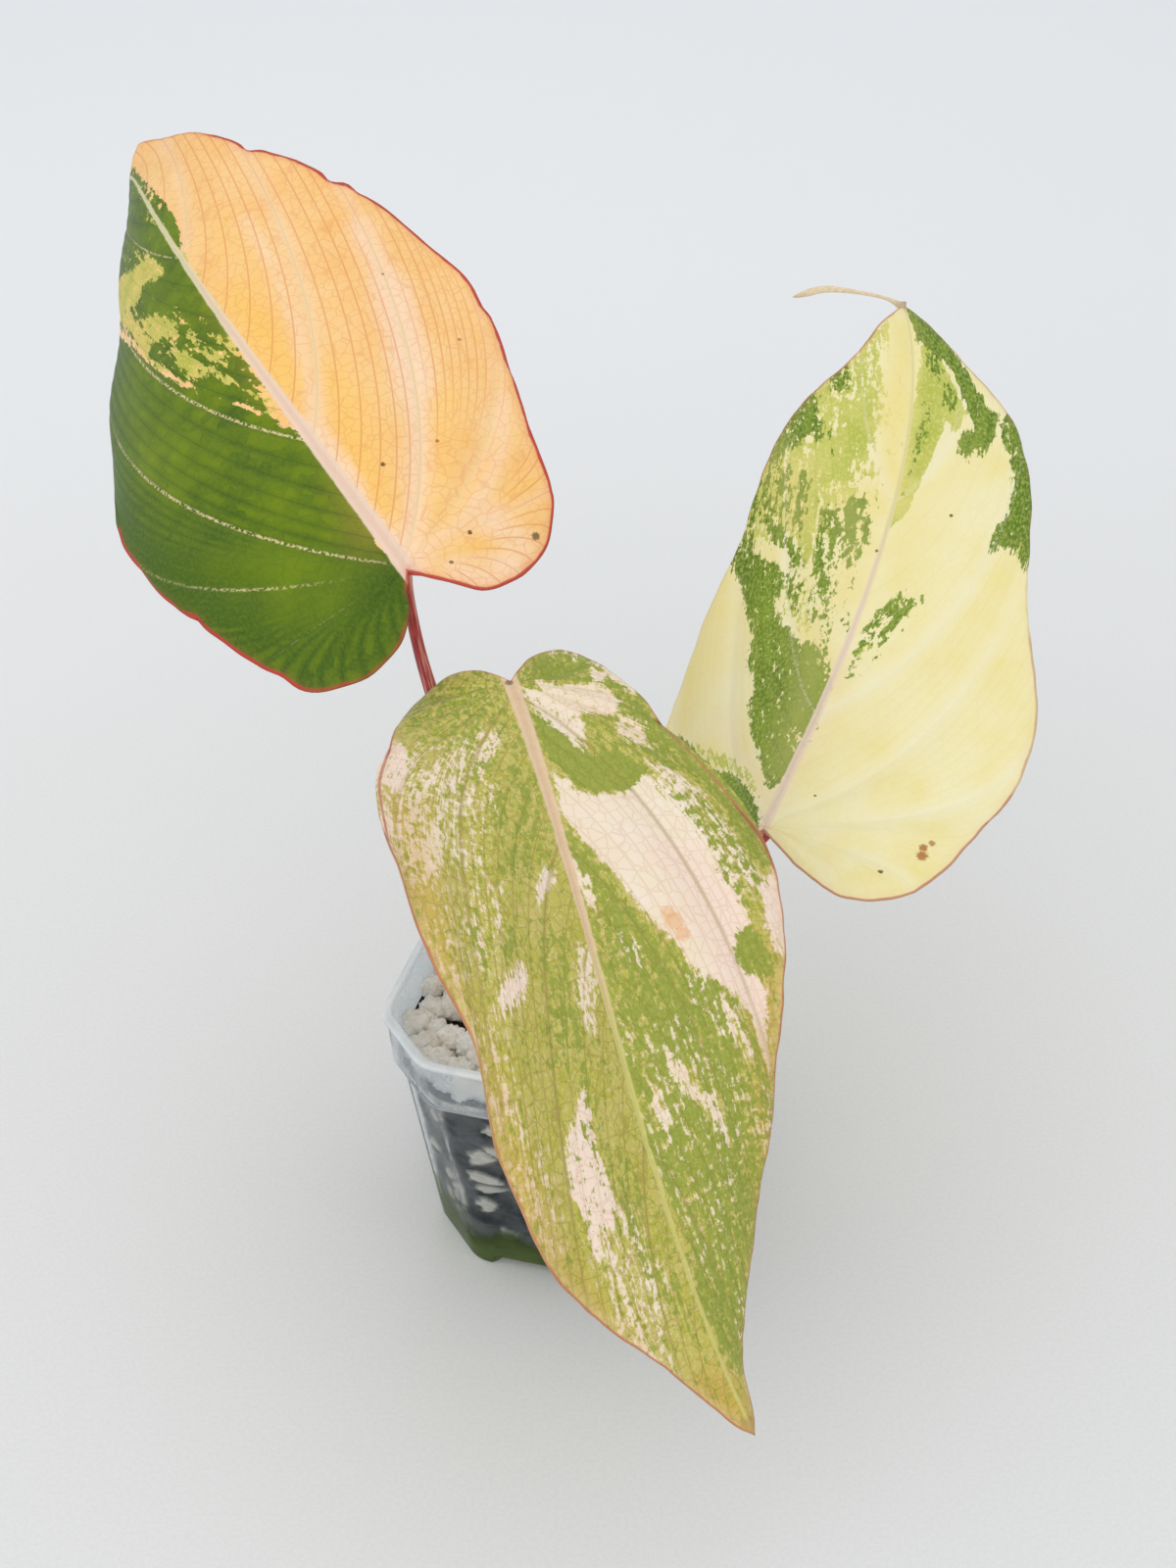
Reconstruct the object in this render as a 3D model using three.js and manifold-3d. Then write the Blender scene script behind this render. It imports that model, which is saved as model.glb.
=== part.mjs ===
// A potted aroid: three heart-shaped leaves on red stalks, in a square nursery pot of frosted plastic.
// Millimetres, +Z up, +X to the right, +Y to the back. The origin is the middle of the pot's base.

import * as THREE from 'three';
import { mergeVertices } from 'three/addons/utils/BufferGeometryUtils.js';
import Module from 'manifold-3d';

const wasm = await Module();
wasm.setup();

// The pot is a tapered square with cut corners, a collar round its top and four corner feet.
const POT_HEIGHT = 80;
const POT_TURN = -15.4;
const RIM_HALF = 44;
const LIP = 2;
const LIP_DEPTH = 2;
const COLLAR_HEIGHT = 17;
const COLLAR_FOOT_HALF = 42.2;
const BODY_TOP_HALF = 40.6;
const BASE_HALF = 33.4;
const WALL = 1.2;
const CUT_CORNER = 24;
const CORNER_ROUND = 4;
const FOOT_RISE = 3;
const FOOT_WRAP = 5;
const FOOT_WALL = 2.2;
const FLOOR_THICK = 1.6;
const PAD_RADIUS = 5;

// The mix fills the pot to just above the collar's foot, and a bed of pale stones lies on it.
const GAP = 0.3;
const MIX_TOP = 65.5;
const BED_THICK = 1.4;
const STONE_COUNT = 66;
const STONE_MIN = 3.3;
const STONE_MAX = 5.6;
const STONE_SEED = 41;

// The rhizome stands upright in the middle, and its roots run down and out through the mix.
const RHIZOME_BOTTOM = 46;
const RHIZOME_TOP = 72;
const RHIZOME_RADIUS = 8.4;
const ROOT_COUNT = 6;
const ROOT_RADIUS = 1.7;

// A blade is thickest along its midrib, which stands out below it and sinks a little above.
const BLADE_THICK = 0.9;
const RIB_DEPTH = 1.5;
const RIB_SINK = 0.25;

// Main side veins, as shares of the way along the margin from the sinus to the tip, and mesh steps between.
const VEINS = [0, 0.11, 0.21, 0.44, 0.645, 0.78, 0.905, 1];
const STEPS = [2, 3, 5, 5, 4, 3, 3];
const ROWS = [0, 0.035, 0.12, 0.23, 0.35, 0.48, 0.61, 0.74, 0.86, 0.95, 1];

// Between the side veins the blade puffs up, and its margin waves, less where a half is narrower than this.
const PUFF = 0.9;
const WAVE = 0.9;
const WAVY_FROM = 35;

// Each blade: the control points of its midrib, how far its face rolls to the right of straight up at the
// base, middle and tip, and for each side the fold and the curl (degrees, and degrees per 100 mm, + is up)
// at the same three places. A half outline runs from the sinus round the lobe to the tip, as (x, y) with y
// along the midrib.
const BLADES = [
  {
    name: 'leaf_back_left',
    color: 0xe9c07a,
    midrib: [[-38, 5, 205.5], [-77, 44, 243.5], [-114, 105.5, 254], [-125.5, 155.5, 259], [-126, 173, 236]],
    roll: [-17, -32, -70],
    waves: 5,
    left: {
      fold: [-5, -11, -8],
      curl: [-24, -58, -54],
      outline: [[0, -1], [5.5, -9], [13, -15.5], [24, -17.5], [36, -13.5], [43, -2], [48, 17], [54, 37],
        [57, 60], [58, 85], [51.5, 108], [41.5, 131], [29, 155], [15.5, 178], [5.5, 196], [0, 205]],
    },
    right: {
      fold: [-5, -11, -8],
      curl: [-8, -15, -40],
      outline: [[0, -1], [7, -8.5], [13, -15], [23.5, -17], [35.5, -13], [44, -2.5], [50, 16.5], [56.5, 37.5],
        [61, 60], [58, 85], [51, 109], [40, 130], [28.5, 155], [15.5, 178.5], [5.5, 196], [0, 205]],
    },
  },
  {
    name: 'leaf_back_right',
    color: 0xe6dca0,
    midrib: [[52.2, -2.8, 133.4], [70.2, 36.5, 145.5], [91.1, 68.8, 175.1], [102.6, 101.1, 204.8],
      [97.1, 136.9, 217.4]],
    roll: [-15, -2, 15],
    waves: 4,
    left: {
      fold: [-11, -8, -2],
      curl: [-19, -21, -15],
      outline: [[0, -1], [6, -9], [14, -16], [25, -20], [39, -14], [47, -2], [52, 14], [53.5, 30], [53, 50],
        [48.5, 70], [43, 91], [39.5, 114], [31, 133], [17, 151], [7, 165], [0, 172]],
    },
    right: {
      fold: [-8.5, -4.5, 1.5],
      curl: [-18.5, -10.5, -17],
      outline: [[0, -1], [8.5, -8], [16, -14], [27, -20], [40, -14.5], [48, -2.5], [53, 14.5], [57, 30],
        [56, 50], [48.5, 70], [40.5, 90], [36.5, 113], [30, 133], [17, 151], [6.5, 165], [0, 172]],
    },
  },
  {
    name: 'leaf_front',
    color: 0xb6ae6c,
    midrib: [[-12.3, -11.3, 182.5], [2.7, -63.2, 168.7], [13.4, -101.6, 140.9], [24.5, -126.5, 101.8],
      [45.2, -136, 55.2]],
    roll: [0, -16, 25],
    waves: 6,
    left: {
      fold: [-8, 9, -27],
      curl: [-13, 2.5, -28],
      outline: [[0, -1], [3.5, -5], [8, -9], [16, -11], [24, -8], [30.5, 2.5], [35, 18], [43, 34.5],
        [49.5, 51.5], [50, 73.5], [44.5, 93], [38, 113], [31, 132.5], [23, 151], [13, 169], [5.5, 182.5],
        [3, 192.5], [0, 197]],
    },
    right: {
      fold: [-12, 11, -30],
      curl: [-15, -1, -32],
      outline: [[0, -1], [3.5, -5], [8, -9], [15.5, -11.5], [23.5, -7.5], [29.5, 3], [35, 18], [42, 34.5],
        [46.5, 52], [46.5, 73], [42, 93], [40.5, 113.5], [35, 133.5], [24.5, 151], [13.5, 169], [7, 183],
        [3, 192.5], [0, 197]],
    },
  },
];

// Each stalk runs from the rhizome's top to the lower face of its blade, thinning on the way.
const STALKS = [
  {
    name: 'petiole_back_left',
    blade: 'leaf_back_left',
    foot: [-3.8, 2.6],
    bend: [[-10, 8, 118], [-36, 6, 150]],
    radius: [2.7, 2.1, 1.3],
  },
  {
    name: 'petiole_back_right',
    blade: 'leaf_back_right',
    foot: [3.9, 2],
    bend: [[14, 4, 92], [38, 2, 104]],
    radius: [2.7, 2.1, 1.5],
  },
  {
    name: 'petiole_front',
    blade: 'leaf_front',
    foot: [0, -4.4],
    bend: [[0, -2, 110], [-11, -4, 145]],
    radius: [2.7, 2.1, 1.4],
  },
];
const STALK_SIDES = 10;
const STALK_STEPS = 18;

// The dried drip tip of the cream leaf: a thin tail that curls over to the left.
const TAIL = [[96.9, 135.6, 217.2], [92.8, 141, 217.6], [84.5, 144, 218.3], [75.3, 145.4, 218.6],
  [65.6, 141.3, 217.9]];
const TAIL_RADIUS = [1.6, 0.5];

const vec = ([x, y, z]) => new THREE.Vector3(x, y, z);
const mix = THREE.MathUtils.lerp;
const radians = THREE.MathUtils.degToRad;

// The curve through three values at 0, 0.5 and 1.
function throughThree([a, b, c], k) {
  return a * (1 - k) * (1 - 2 * k) + b * 4 * k * (1 - k) + c * k * (2 * k - 1);
}

// A repeatable run of numbers from 0 to 1.
function seededRandom(seed) {
  let state = seed;
  return () => {
    state = (state * 1664525 + 1013904223) % 4294967296;
    return state / 4294967296;
  };
}

function geometryFrom(points, triangles) {
  const geometry = new THREE.BufferGeometry();
  geometry.setAttribute('position', new THREE.Float32BufferAttribute(points.flatMap((p) => p.toArray()), 3));
  geometry.setIndex(triangles);
  return geometry;
}

function toSolid(geometry) {
  const bare = geometry.clone();
  bare.deleteAttribute('normal');
  bare.deleteAttribute('uv');
  const merged = mergeVertices(bare, 1e-4);
  const vertProperties = new Float32Array(merged.attributes.position.array);
  const triVerts = new Uint32Array(merged.index.array);
  return new wasm.Manifold(new wasm.Mesh({ numProp: 3, vertProperties, triVerts }));
}

function toGeometry(solid) {
  const mesh = solid.getMesh();
  const geometry = new THREE.BufferGeometry();
  geometry.setAttribute('position', new THREE.BufferAttribute(mesh.vertProperties, 3));
  geometry.setIndex(new THREE.BufferAttribute(mesh.triVerts, 1));
  return geometry;
}

// A closed solid through rings of equally many points, with a fan over each end.
function loft(rings) {
  const sides = rings[0].length;
  const points = rings.flat();
  const triangles = [];
  for (let r = 0; r + 1 < rings.length; r += 1) {
    for (let s = 0; s < sides; s += 1) {
      const a = r * sides + s;
      const b = r * sides + ((s + 1) % sides);
      triangles.push(a, b, b + sides, a, b + sides, a + sides);
    }
  }
  for (const last of [false, true]) {
    const first = last ? (rings.length - 1) * sides : 0;
    const ring = points.slice(first, first + sides);
    const centre = points.length;
    points.push(ring.reduce((sum, p) => sum.add(p), new THREE.Vector3()).divideScalar(sides));
    for (let s = 0; s < sides; s += 1) {
      const a = first + s;
      const b = first + ((s + 1) % sides);
      triangles.push(centre, last ? a : b, last ? b : a);
    }
  }
  return geometryFrom(points, triangles);
}

// A round tube along a curve, its radius running through three values. Each end can be cut by a plane.
function taperedTube(curve, radius, sides, steps, cuts = []) {
  const frames = curve.computeFrenetFrames(steps, false);
  const rings = [];
  for (let i = 0; i <= steps; i += 1) {
    const centre = curve.getPointAt(i / steps);
    const r = throughThree(radius, i / steps);
    const ring = [];
    for (let s = 0; s < sides; s += 1) {
      const angle = (2 * Math.PI * s) / sides;
      const point = centre.clone();
      point.addScaledVector(frames.normals[i], r * Math.cos(angle));
      point.addScaledVector(frames.binormals[i], r * Math.sin(angle));
      ring.push(point);
    }
    rings.push(ring);
  }
  for (const { end, plane } of cuts) {
    const i = end ? steps : 0;
    const along = frames.tangents[i];
    for (const point of rings[i]) {
      point.addScaledVector(along, -plane.distanceToPoint(point) / plane.normal.dot(along));
    }
  }
  return loft(rings);
}

// One level ring of the pot: a square with cut corners, half wide from its middle to a flat, each of its
// eight edges rounded by a short curve.
function potRing(half, z) {
  const leg = CUT_CORNER / Math.SQRT2;
  const corners = [];
  for (let quarter = 0; quarter < 4; quarter += 1) {
    const turn = (quarter * Math.PI) / 2;
    for (const [x, y] of [[half, half - leg], [half - leg, half]]) {
      corners.push(new THREE.Vector2(x, y).rotateAround(new THREE.Vector2(), turn));
    }
  }
  const ring = [];
  corners.forEach((corner, i) => {
    const before = corners[(i + 7) % 8];
    const after = corners[(i + 1) % 8];
    const start = corner.clone().add(before.clone().sub(corner).setLength(CORNER_ROUND));
    const end = corner.clone().add(after.clone().sub(corner).setLength(CORNER_ROUND));
    for (const point of new THREE.QuadraticBezierCurve(start, corner, end).getPoints(2)) {
      ring.push(new THREE.Vector3(point.x, point.y, z));
    }
  });
  return ring;
}

const potLoft = (profile) => loft(profile.map(([z, half]) => potRing(half, z)));
const collarFoot = POT_HEIGHT - COLLAR_HEIGHT;

// Half width of the pot's inside at a height, between the floor and the lip.
function insideHalf(z) {
  const outer = z < collarFoot
    ? mix(BASE_HALF, BODY_TOP_HALF, z / collarFoot)
    : mix(COLLAR_FOOT_HALF, RIM_HALF - 0.6, (z - collarFoot) / COLLAR_HEIGHT);
  return outer - WALL;
}

function potGeometry() {
  const rimFoot = POT_HEIGHT - LIP_DEPTH;
  const floorTop = FOOT_RISE + FLOOR_THICK;
  const outside = toSolid(potLoft([
    [0, BASE_HALF], [collarFoot - 0.6, BODY_TOP_HALF], [collarFoot + 0.6, COLLAR_FOOT_HALF],
    [rimFoot, RIM_HALF - 0.6], [rimFoot + 0.5, RIM_HALF], [POT_HEIGHT, RIM_HALF],
  ]));
  const inside = toSolid(potLoft([
    [floorTop, insideHalf(floorTop)], [collarFoot - 1.6, BODY_TOP_HALF - WALL],
    [collarFoot - 0.2, COLLAR_FOOT_HALF - WALL], [rimFoot - 1, insideHalf(rimFoot - 1)],
    [rimFoot, RIM_HALF - LIP], [POT_HEIGHT + 1, RIM_HALF - LIP],
  ]));
  const underFloor = toSolid(potLoft([[-1, BASE_HALF - FOOT_WALL], [FOOT_RISE, BASE_HALF - FOOT_WALL]]));
  const straight = 2 * (BASE_HALF - CUT_CORNER / Math.SQRT2 - FOOT_WRAP);
  const underSides = new THREE.BoxGeometry(3 * BASE_HALF, straight, FOOT_RISE + 1);
  underSides.translate(0, 0, (FOOT_RISE - 1) / 2);
  const pad = new THREE.CylinderGeometry(PAD_RADIUS, PAD_RADIUS, FOOT_RISE + 0.5, 16);
  pad.rotateX(Math.PI / 2);
  pad.translate(0, 0, (FOOT_RISE + 0.5) / 2);
  return toGeometry(outside
    .subtract(inside)
    .subtract(underFloor)
    .subtract(toSolid(underSides))
    .subtract(toSolid(underSides.clone().rotateZ(Math.PI / 2)))
    .add(toSolid(pad)));
}

// The rhizome is an upright knobbly stem. Grown by `extra`, it is also the hole that it stands in.
function rhizomeSolid(extra) {
  const random = seededRandom(7);
  const profile = [[RHIZOME_BOTTOM, 0.5], [RHIZOME_BOTTOM + 4, 0.85], [56, 1], [60, 0.9], [64, 1], [69, 0.98],
    [RHIZOME_TOP, 0.9]];
  const rings = profile.map(([z, share], level) => {
    const ring = [];
    for (let s = 0; s < 12; s += 1) {
      const angle = (2 * Math.PI * s) / 12;
      const r = RHIZOME_RADIUS * share * (0.95 + 0.07 * random()) + extra;
      const height = z + (level === 0 ? -extra : 0);
      ring.push(new THREE.Vector3(r * Math.cos(angle), r * Math.sin(angle), height));
    }
    return ring;
  });
  if (extra > 0) {
    rings.push(rings.at(-1).map((p) => new THREE.Vector3(p.x, p.y, RHIZOME_TOP + 12)));
  }
  let solid = toSolid(loft(rings));
  for (let i = 0; i < ROOT_COUNT; i += 1) {
    const turn = (2 * Math.PI * (i + 0.3 * random())) / ROOT_COUNT;
    const out = new THREE.Vector3(Math.cos(turn), Math.sin(turn), 0);
    const reach = 19 + 7 * random();
    const start = out.clone().multiplyScalar(2).setZ(54 - 2 * (i % 3));
    const knee = out.clone().multiplyScalar(reach).setZ(44 - 4 * random());
    const end = out.clone().multiplyScalar(reach + 3).setZ(16 + 10 * random());
    const curve = new THREE.QuadraticBezierCurve3(start, knee, end);
    const r = ROOT_RADIUS + extra;
    solid = solid.add(toSolid(taperedTube(curve, [r, 0.9 * r, 0.7 * r], 6, 6)));
  }
  return solid;
}

const hole = rhizomeSolid(GAP);
const turned = (solid) => solid.rotate([0, 0, -POT_TURN]);

function mixGeometry() {
  const floor = FOOT_RISE + FLOOR_THICK + GAP;
  const levels = [floor, collarFoot - 1.9, collarFoot + 0.2, MIX_TOP];
  const body = potLoft(levels.map((z, i) => {
    const half = i === 1 ? BODY_TOP_HALF - WALL : insideHalf(z);
    return [z, half - GAP - 0.1];
  }));
  return toGeometry(toSolid(body).subtract(turned(hole)));
}

// A stone: a 20-sided lump, stretched and turned at random.
function stoneSolid(radius, centre, random) {
  const ball = new THREE.IcosahedronGeometry(radius, 0);
  ball.deleteAttribute('uv');
  ball.deleteAttribute('normal');
  const stone = mergeVertices(ball);
  const position = stone.attributes.position;
  for (let i = 0; i < position.count; i += 1) {
    const point = new THREE.Vector3().fromBufferAttribute(position, i);
    point.multiplyScalar(0.86 + 0.26 * random());
    position.setXYZ(i, point.x, point.y, point.z);
  }
  stone.scale(1.1, 0.95, 0.85);
  stone.rotateZ(2 * Math.PI * random());
  stone.translate(...centre);
  return toSolid(stone);
}

// The stones are dropped at random, no closer than most of their widths, and grow out of a thin bed.
function toppingGeometry() {
  const random = seededRandom(STONE_SEED);
  const floor = MIX_TOP + GAP;
  const top = floor + BED_THICK;
  const half = insideHalf(floor) - GAP - 0.1;
  const cutHalf = Math.SQRT2 * half - CUT_CORNER / 2;
  const placed = [];
  for (let tries = 0; placed.length < STONE_COUNT && tries < 6000; tries += 1) {
    const radius = mix(STONE_MIN, STONE_MAX, random());
    const reach = half - 1.2 * radius;
    const x = mix(-reach, reach, random());
    const y = mix(-reach, reach, random());
    const cut = (Math.abs(x) + Math.abs(y)) / Math.SQRT2 < cutHalf - 1.2 * radius;
    const clear = Math.hypot(x, y) > RHIZOME_RADIUS + 1.25 * radius + GAP;
    const free = placed.every((p) => Math.hypot(p.x - x, p.y - y) > 0.78 * (p.radius + radius));
    if (cut && clear && free) {
      placed.push({ x, y, radius });
    }
  }
  let solid = toSolid(potLoft([[floor, half], [top, half]]));
  for (const { x, y, radius } of placed) {
    solid = solid.add(stoneSolid(radius, [x, y, top + (0.1 + 0.25 * random()) * radius], random));
  }
  return toGeometry(solid.trimByPlane([0, 0, 1], floor).subtract(turned(hole)));
}

// A point of a Bezier curve, and its derivative, for any number of control points.
function bezier(points, t) {
  let level = points;
  while (level.length > 2) {
    level = level.slice(1).map((p, i) => level[i].clone().lerp(p, t));
  }
  return {
    point: level[0].clone().lerp(level[1], t),
    tangent: level[1].clone().sub(level[0]).multiplyScalar(points.length - 1),
  };
}

// The bent surface of one blade. `at` takes a flat place (x off the midrib, y along it, side -1 or 1) to
// the point there and the face's normal.
function bladeSurface(blade) {
  const control = blade.midrib.map(vec);
  const table = [];
  let travelled = 0;
  let before = null;
  for (let i = 0; i <= 300; i += 1) {
    const t = mix(-0.35, 1.12, i / 300);
    const { point } = bezier(control, t);
    travelled += before ? point.distanceTo(before) : 0;
    table.push({ t, y: travelled });
    before = point;
  }
  const lookUp = (from, to, value) => {
    const i = Math.max(1, Math.min(300, table.findIndex((row) => row[from] >= value)));
    const [a, b] = [table[i - 1], table[i]];
    return mix(a[to], b[to], (value - a[from]) / (b[from] - a[from]));
  };
  const start = lookUp('t', 'y', 0);
  const length = lookUp('t', 'y', 1) - start;

  function at(x, y, side) {
    const { point, tangent } = bezier(control, lookUp('y', 't', y + start));
    tangent.normalize();
    const k = Math.max(-0.15, Math.min(1, y / length));
    const up = new THREE.Vector3(0, 0, 1).addScaledVector(tangent, -tangent.z).normalize();
    const across = tangent.clone().cross(up);
    const roll = radians(throughThree(blade.roll, k));
    const normal = up.clone().multiplyScalar(Math.cos(roll)).addScaledVector(across, Math.sin(roll));
    across.multiplyScalar(Math.cos(roll)).addScaledVector(up, -Math.sin(roll));
    const half = side < 0 ? blade.left : blade.right;
    const fold = radians(throughThree(half.fold, k));
    const curl = radians(throughThree(half.curl, k)) / 100;
    const end = fold + curl * x;
    const out = Math.abs(curl) < 1e-6 ? x * Math.cos(fold) : (Math.sin(end) - Math.sin(fold)) / curl;
    const rise = Math.abs(curl) < 1e-6 ? x * Math.sin(fold) : (Math.cos(fold) - Math.cos(end)) / curl;
    point.addScaledVector(across, side * out).addScaledVector(normal, rise);
    const tilt = x < 0.01 ? 0 : end;
    return {
      point,
      normal: normal.multiplyScalar(Math.cos(tilt)).addScaledVector(across, -side * Math.sin(tilt)),
    };
  }
  return { at, length };
}

// Where a side vein that ends at height y on the margin leaves the midrib: the lower ones all start at the
// stalk, the upper ones ever nearer the tip.
function veinStart(y, length) {
  return length * Math.max(0, (y / length - 0.55) / 0.45) ** 1.8;
}

// One blade as a closed shell: the same mesh on both faces, joined by a narrow rim.
function bladeGeometry(blade) {
  const surface = bladeSurface(blade);
  const shares = VEINS.slice(1).flatMap((vein, i) => {
    const steps = STEPS[i];
    return Array.from({ length: steps }, (_, s) => ({
      along: mix(VEINS[i], vein, s / steps),
      between: s / steps,
    }));
  });
  shares.push({ along: 1, between: 0 });
  const sides = [-1, 1].map((side) => {
    const { outline } = side < 0 ? blade.left : blade.right;
    const curve = new THREE.CatmullRomCurve3(outline.map(([x, y]) => vec([x, y, 0])), false, 'centripetal');
    return { side, ends: shares.map(({ along }) => curve.getPointAt(along)) };
  });
  const starts = shares.map((_, i) => {
    const mean = (sides[0].ends[i].y + sides[1].ends[i].y) / 2;
    return i + 1 === shares.length ? surface.length : veinStart(mean, surface.length);
  });

  const points = [];
  const triangles = [];
  for (const { side, ends } of sides) {
    const first = points.length;
    shares.forEach(({ along, between }, i) => {
      const last = i + 1 === shares.length;
      const start = new THREE.Vector2(0, starts[i]);
      const end = new THREE.Vector2(Math.max(0, ends[i].x), last ? surface.length : ends[i].y);
      const bend = new THREE.Vector2(0.93 * end.x, mix(start.y, end.y, 0.31));
      const vein = new THREE.QuadraticBezierCurve(start, bend, end);
      for (const row of ROWS) {
        const flat = vein.getPoint(row);
        const onRib = flat.x < 0.01;
        const { point, normal } = surface.at(flat.x, flat.y, side);
        const broad = Math.min(1, end.x / WAVY_FROM);
        const swell = PUFF * broad * Math.sin(Math.PI * between) ** 2 * Math.sin(Math.PI * row ** 0.8);
        const wave = WAVE * broad * row ** 3 * Math.sin(2 * Math.PI * blade.waves * along);
        const lift = onRib ? -RIB_SINK : swell + wave;
        const rib = onRib ? RIB_DEPTH * Math.max(0, 1 - flat.y / surface.length) ** 0.7 : 0;
        points.push(point.clone().addScaledVector(normal, lift + BLADE_THICK / 2));
        points.push(point.clone().addScaledVector(normal, lift - BLADE_THICK / 2 - rib));
      }
    });
    const upper = (i, j) => first + 2 * (i * ROWS.length + j);
    const addFace = (a, b, c, turnOver) => {
      triangles.push(...(turnOver ? [a, c, b] : [a, b, c]));
    };
    const flip = side > 0;
    for (let i = 0; i + 1 < shares.length; i += 1) {
      for (let j = 0; j + 1 < ROWS.length; j += 1) {
        const corners = [upper(i, j), upper(i + 1, j), upper(i + 1, j + 1), upper(i, j + 1)];
        for (const [a, b, c] of [[0, 1, 2], [0, 2, 3]]) {
          addFace(corners[a], corners[b], corners[c], flip);
          addFace(corners[a] + 1, corners[b] + 1, corners[c] + 1, !flip);
        }
      }
      const edge = upper(i, ROWS.length - 1);
      const next = upper(i + 1, ROWS.length - 1);
      addFace(edge, next, next + 1, flip);
      addFace(edge, next + 1, edge + 1, flip);
    }
  }

  // Corners that meet at the stalk, along the midrib or at the tip become one, and what they leave flat goes.
  const merged = mergeVertices(geometryFrom(points, triangles), 1e-3);
  const index = Array.from(merged.index.array);
  const kept = [];
  for (let i = 0; i < index.length; i += 3) {
    const [a, b, c] = index.slice(i, i + 3);
    if (a !== b && b !== c && c !== a) {
      kept.push(a, b, c);
    }
  }
  merged.setIndex(kept);
  return { geometry: merged, surface };
}

// Triangles of the cream leaf's tail are joined to its blade.
function withTail(geometry) {
  const curve = new THREE.CatmullRomCurve3(TAIL.map(vec), false, 'centripetal');
  const [wide, thin] = TAIL_RADIUS;
  const tail = taperedTube(curve, [wide, mix(wide, thin, 0.65), thin], 6, 12);
  return toGeometry(toSolid(geometry).add(toSolid(tail)));
}

function stalkGeometry(stalk, surface) {
  const { point, normal } = surface.at(0, 0, 1);
  const below = BLADE_THICK / 2 + RIB_DEPTH + RIB_SINK + GAP;
  const end = point.clone().addScaledVector(normal, -below);
  const foot = vec([...stalk.foot, RHIZOME_TOP + GAP]);
  const curve = new THREE.CubicBezierCurve3(foot, ...stalk.bend.map(vec), end);
  const ground = new THREE.Plane().setFromNormalAndCoplanarPoint(new THREE.Vector3(0, 0, 1), foot);
  const face = new THREE.Plane().setFromNormalAndCoplanarPoint(normal, end);
  return taperedTube(curve, stalk.radius, STALK_SIDES, STALK_STEPS, [
    { end: false, plane: ground },
    { end: true, plane: face },
  ]);
}

function finish(color, roughness, extra = {}) {
  return new THREE.MeshStandardMaterial({ color, roughness, metalness: 0, flatShading: true, ...extra });
}

function piece(name, geometry, material) {
  const mesh = new THREE.Mesh(geometry, material);
  mesh.name = name;
  return mesh;
}

const frosted = finish(0xd3d8d8, 0.45, { transparent: true, opacity: 0.6 });
const bark = finish(0x2f2620, 0.9);
const pumice = finish(0xc9c2b4, 0.95);
const stem = finish(0x5c6b2c, 0.7);
const redStalk = finish(0x7a1f22, 0.5);

const potted = new THREE.Group();
potted.rotation.z = radians(POT_TURN);
potted.add(piece('pot', potGeometry(), frosted));
potted.add(piece('potting_mix', mixGeometry(), bark));
potted.add(piece('pumice_topping', toppingGeometry(), pumice));

const plant = new THREE.Group();
plant.add(piece('rhizome', toGeometry(rhizomeSolid(0)), stem));
const surfaces = {};
for (const blade of BLADES) {
  const { geometry, surface } = bladeGeometry(blade);
  surfaces[blade.name] = surface;
  const shape = blade.name === 'leaf_back_right' ? withTail(geometry) : geometry;
  plant.add(piece(blade.name, shape, finish(blade.color, 0.5)));
}
for (const stalk of STALKS) {
  plant.add(piece(stalk.name, stalkGeometry(stalk, surfaces[stalk.blade]), redStalk));
}

const plantInPot = new THREE.Group();
plantInPot.add(potted, plant);
export default plantInPot;
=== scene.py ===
import math

import bmesh
import bpy
import numpy as np
from mathutils import Euler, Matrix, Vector, noise


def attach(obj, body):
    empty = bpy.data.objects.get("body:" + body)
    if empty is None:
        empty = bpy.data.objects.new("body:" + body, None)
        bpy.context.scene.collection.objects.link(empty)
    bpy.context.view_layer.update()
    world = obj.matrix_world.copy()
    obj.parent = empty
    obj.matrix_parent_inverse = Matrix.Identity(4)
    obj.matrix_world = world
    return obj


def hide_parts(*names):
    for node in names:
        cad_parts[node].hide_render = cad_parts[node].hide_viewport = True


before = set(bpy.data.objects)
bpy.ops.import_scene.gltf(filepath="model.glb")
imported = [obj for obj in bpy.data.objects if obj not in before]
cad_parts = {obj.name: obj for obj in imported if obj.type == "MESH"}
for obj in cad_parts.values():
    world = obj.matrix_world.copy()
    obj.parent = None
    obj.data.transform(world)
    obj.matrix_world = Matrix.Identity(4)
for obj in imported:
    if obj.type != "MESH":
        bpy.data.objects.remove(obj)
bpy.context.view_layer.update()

MM = 0.001

# ---------------------------------------------------------------- camera, floor and light

scene = bpy.context.scene
scene.view_settings.view_transform = "Standard"
scene.view_settings.look = "None"

camera = bpy.data.objects.new("camera", bpy.data.cameras.new("camera"))
scene.collection.objects.link(camera)
camera.data.sensor_fit = "VERTICAL"
camera.data.sensor_height = 36
camera.data.sensor_width = 36
camera.data.lens = 54
camera.location = (0.0064, -0.4974, 0.4904)
camera.rotation_euler = Euler((math.radians(55.2), 0, 0))
camera.data.clip_start = 0.01
camera.data.clip_end = 20
scene.camera = camera


def area_light(name, place, aim, size, power, colour):
    light = bpy.data.lights.new(name, "AREA")
    light.shape = "DISK"
    light.size = size
    light.energy = power
    light.color = colour
    holder = bpy.data.objects.new(name, light)
    holder.location = place
    holder.rotation_euler = (Vector(aim) - Vector(place)).to_track_quat("-Z", "Y").to_euler()
    scene.collection.objects.link(holder)


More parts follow.
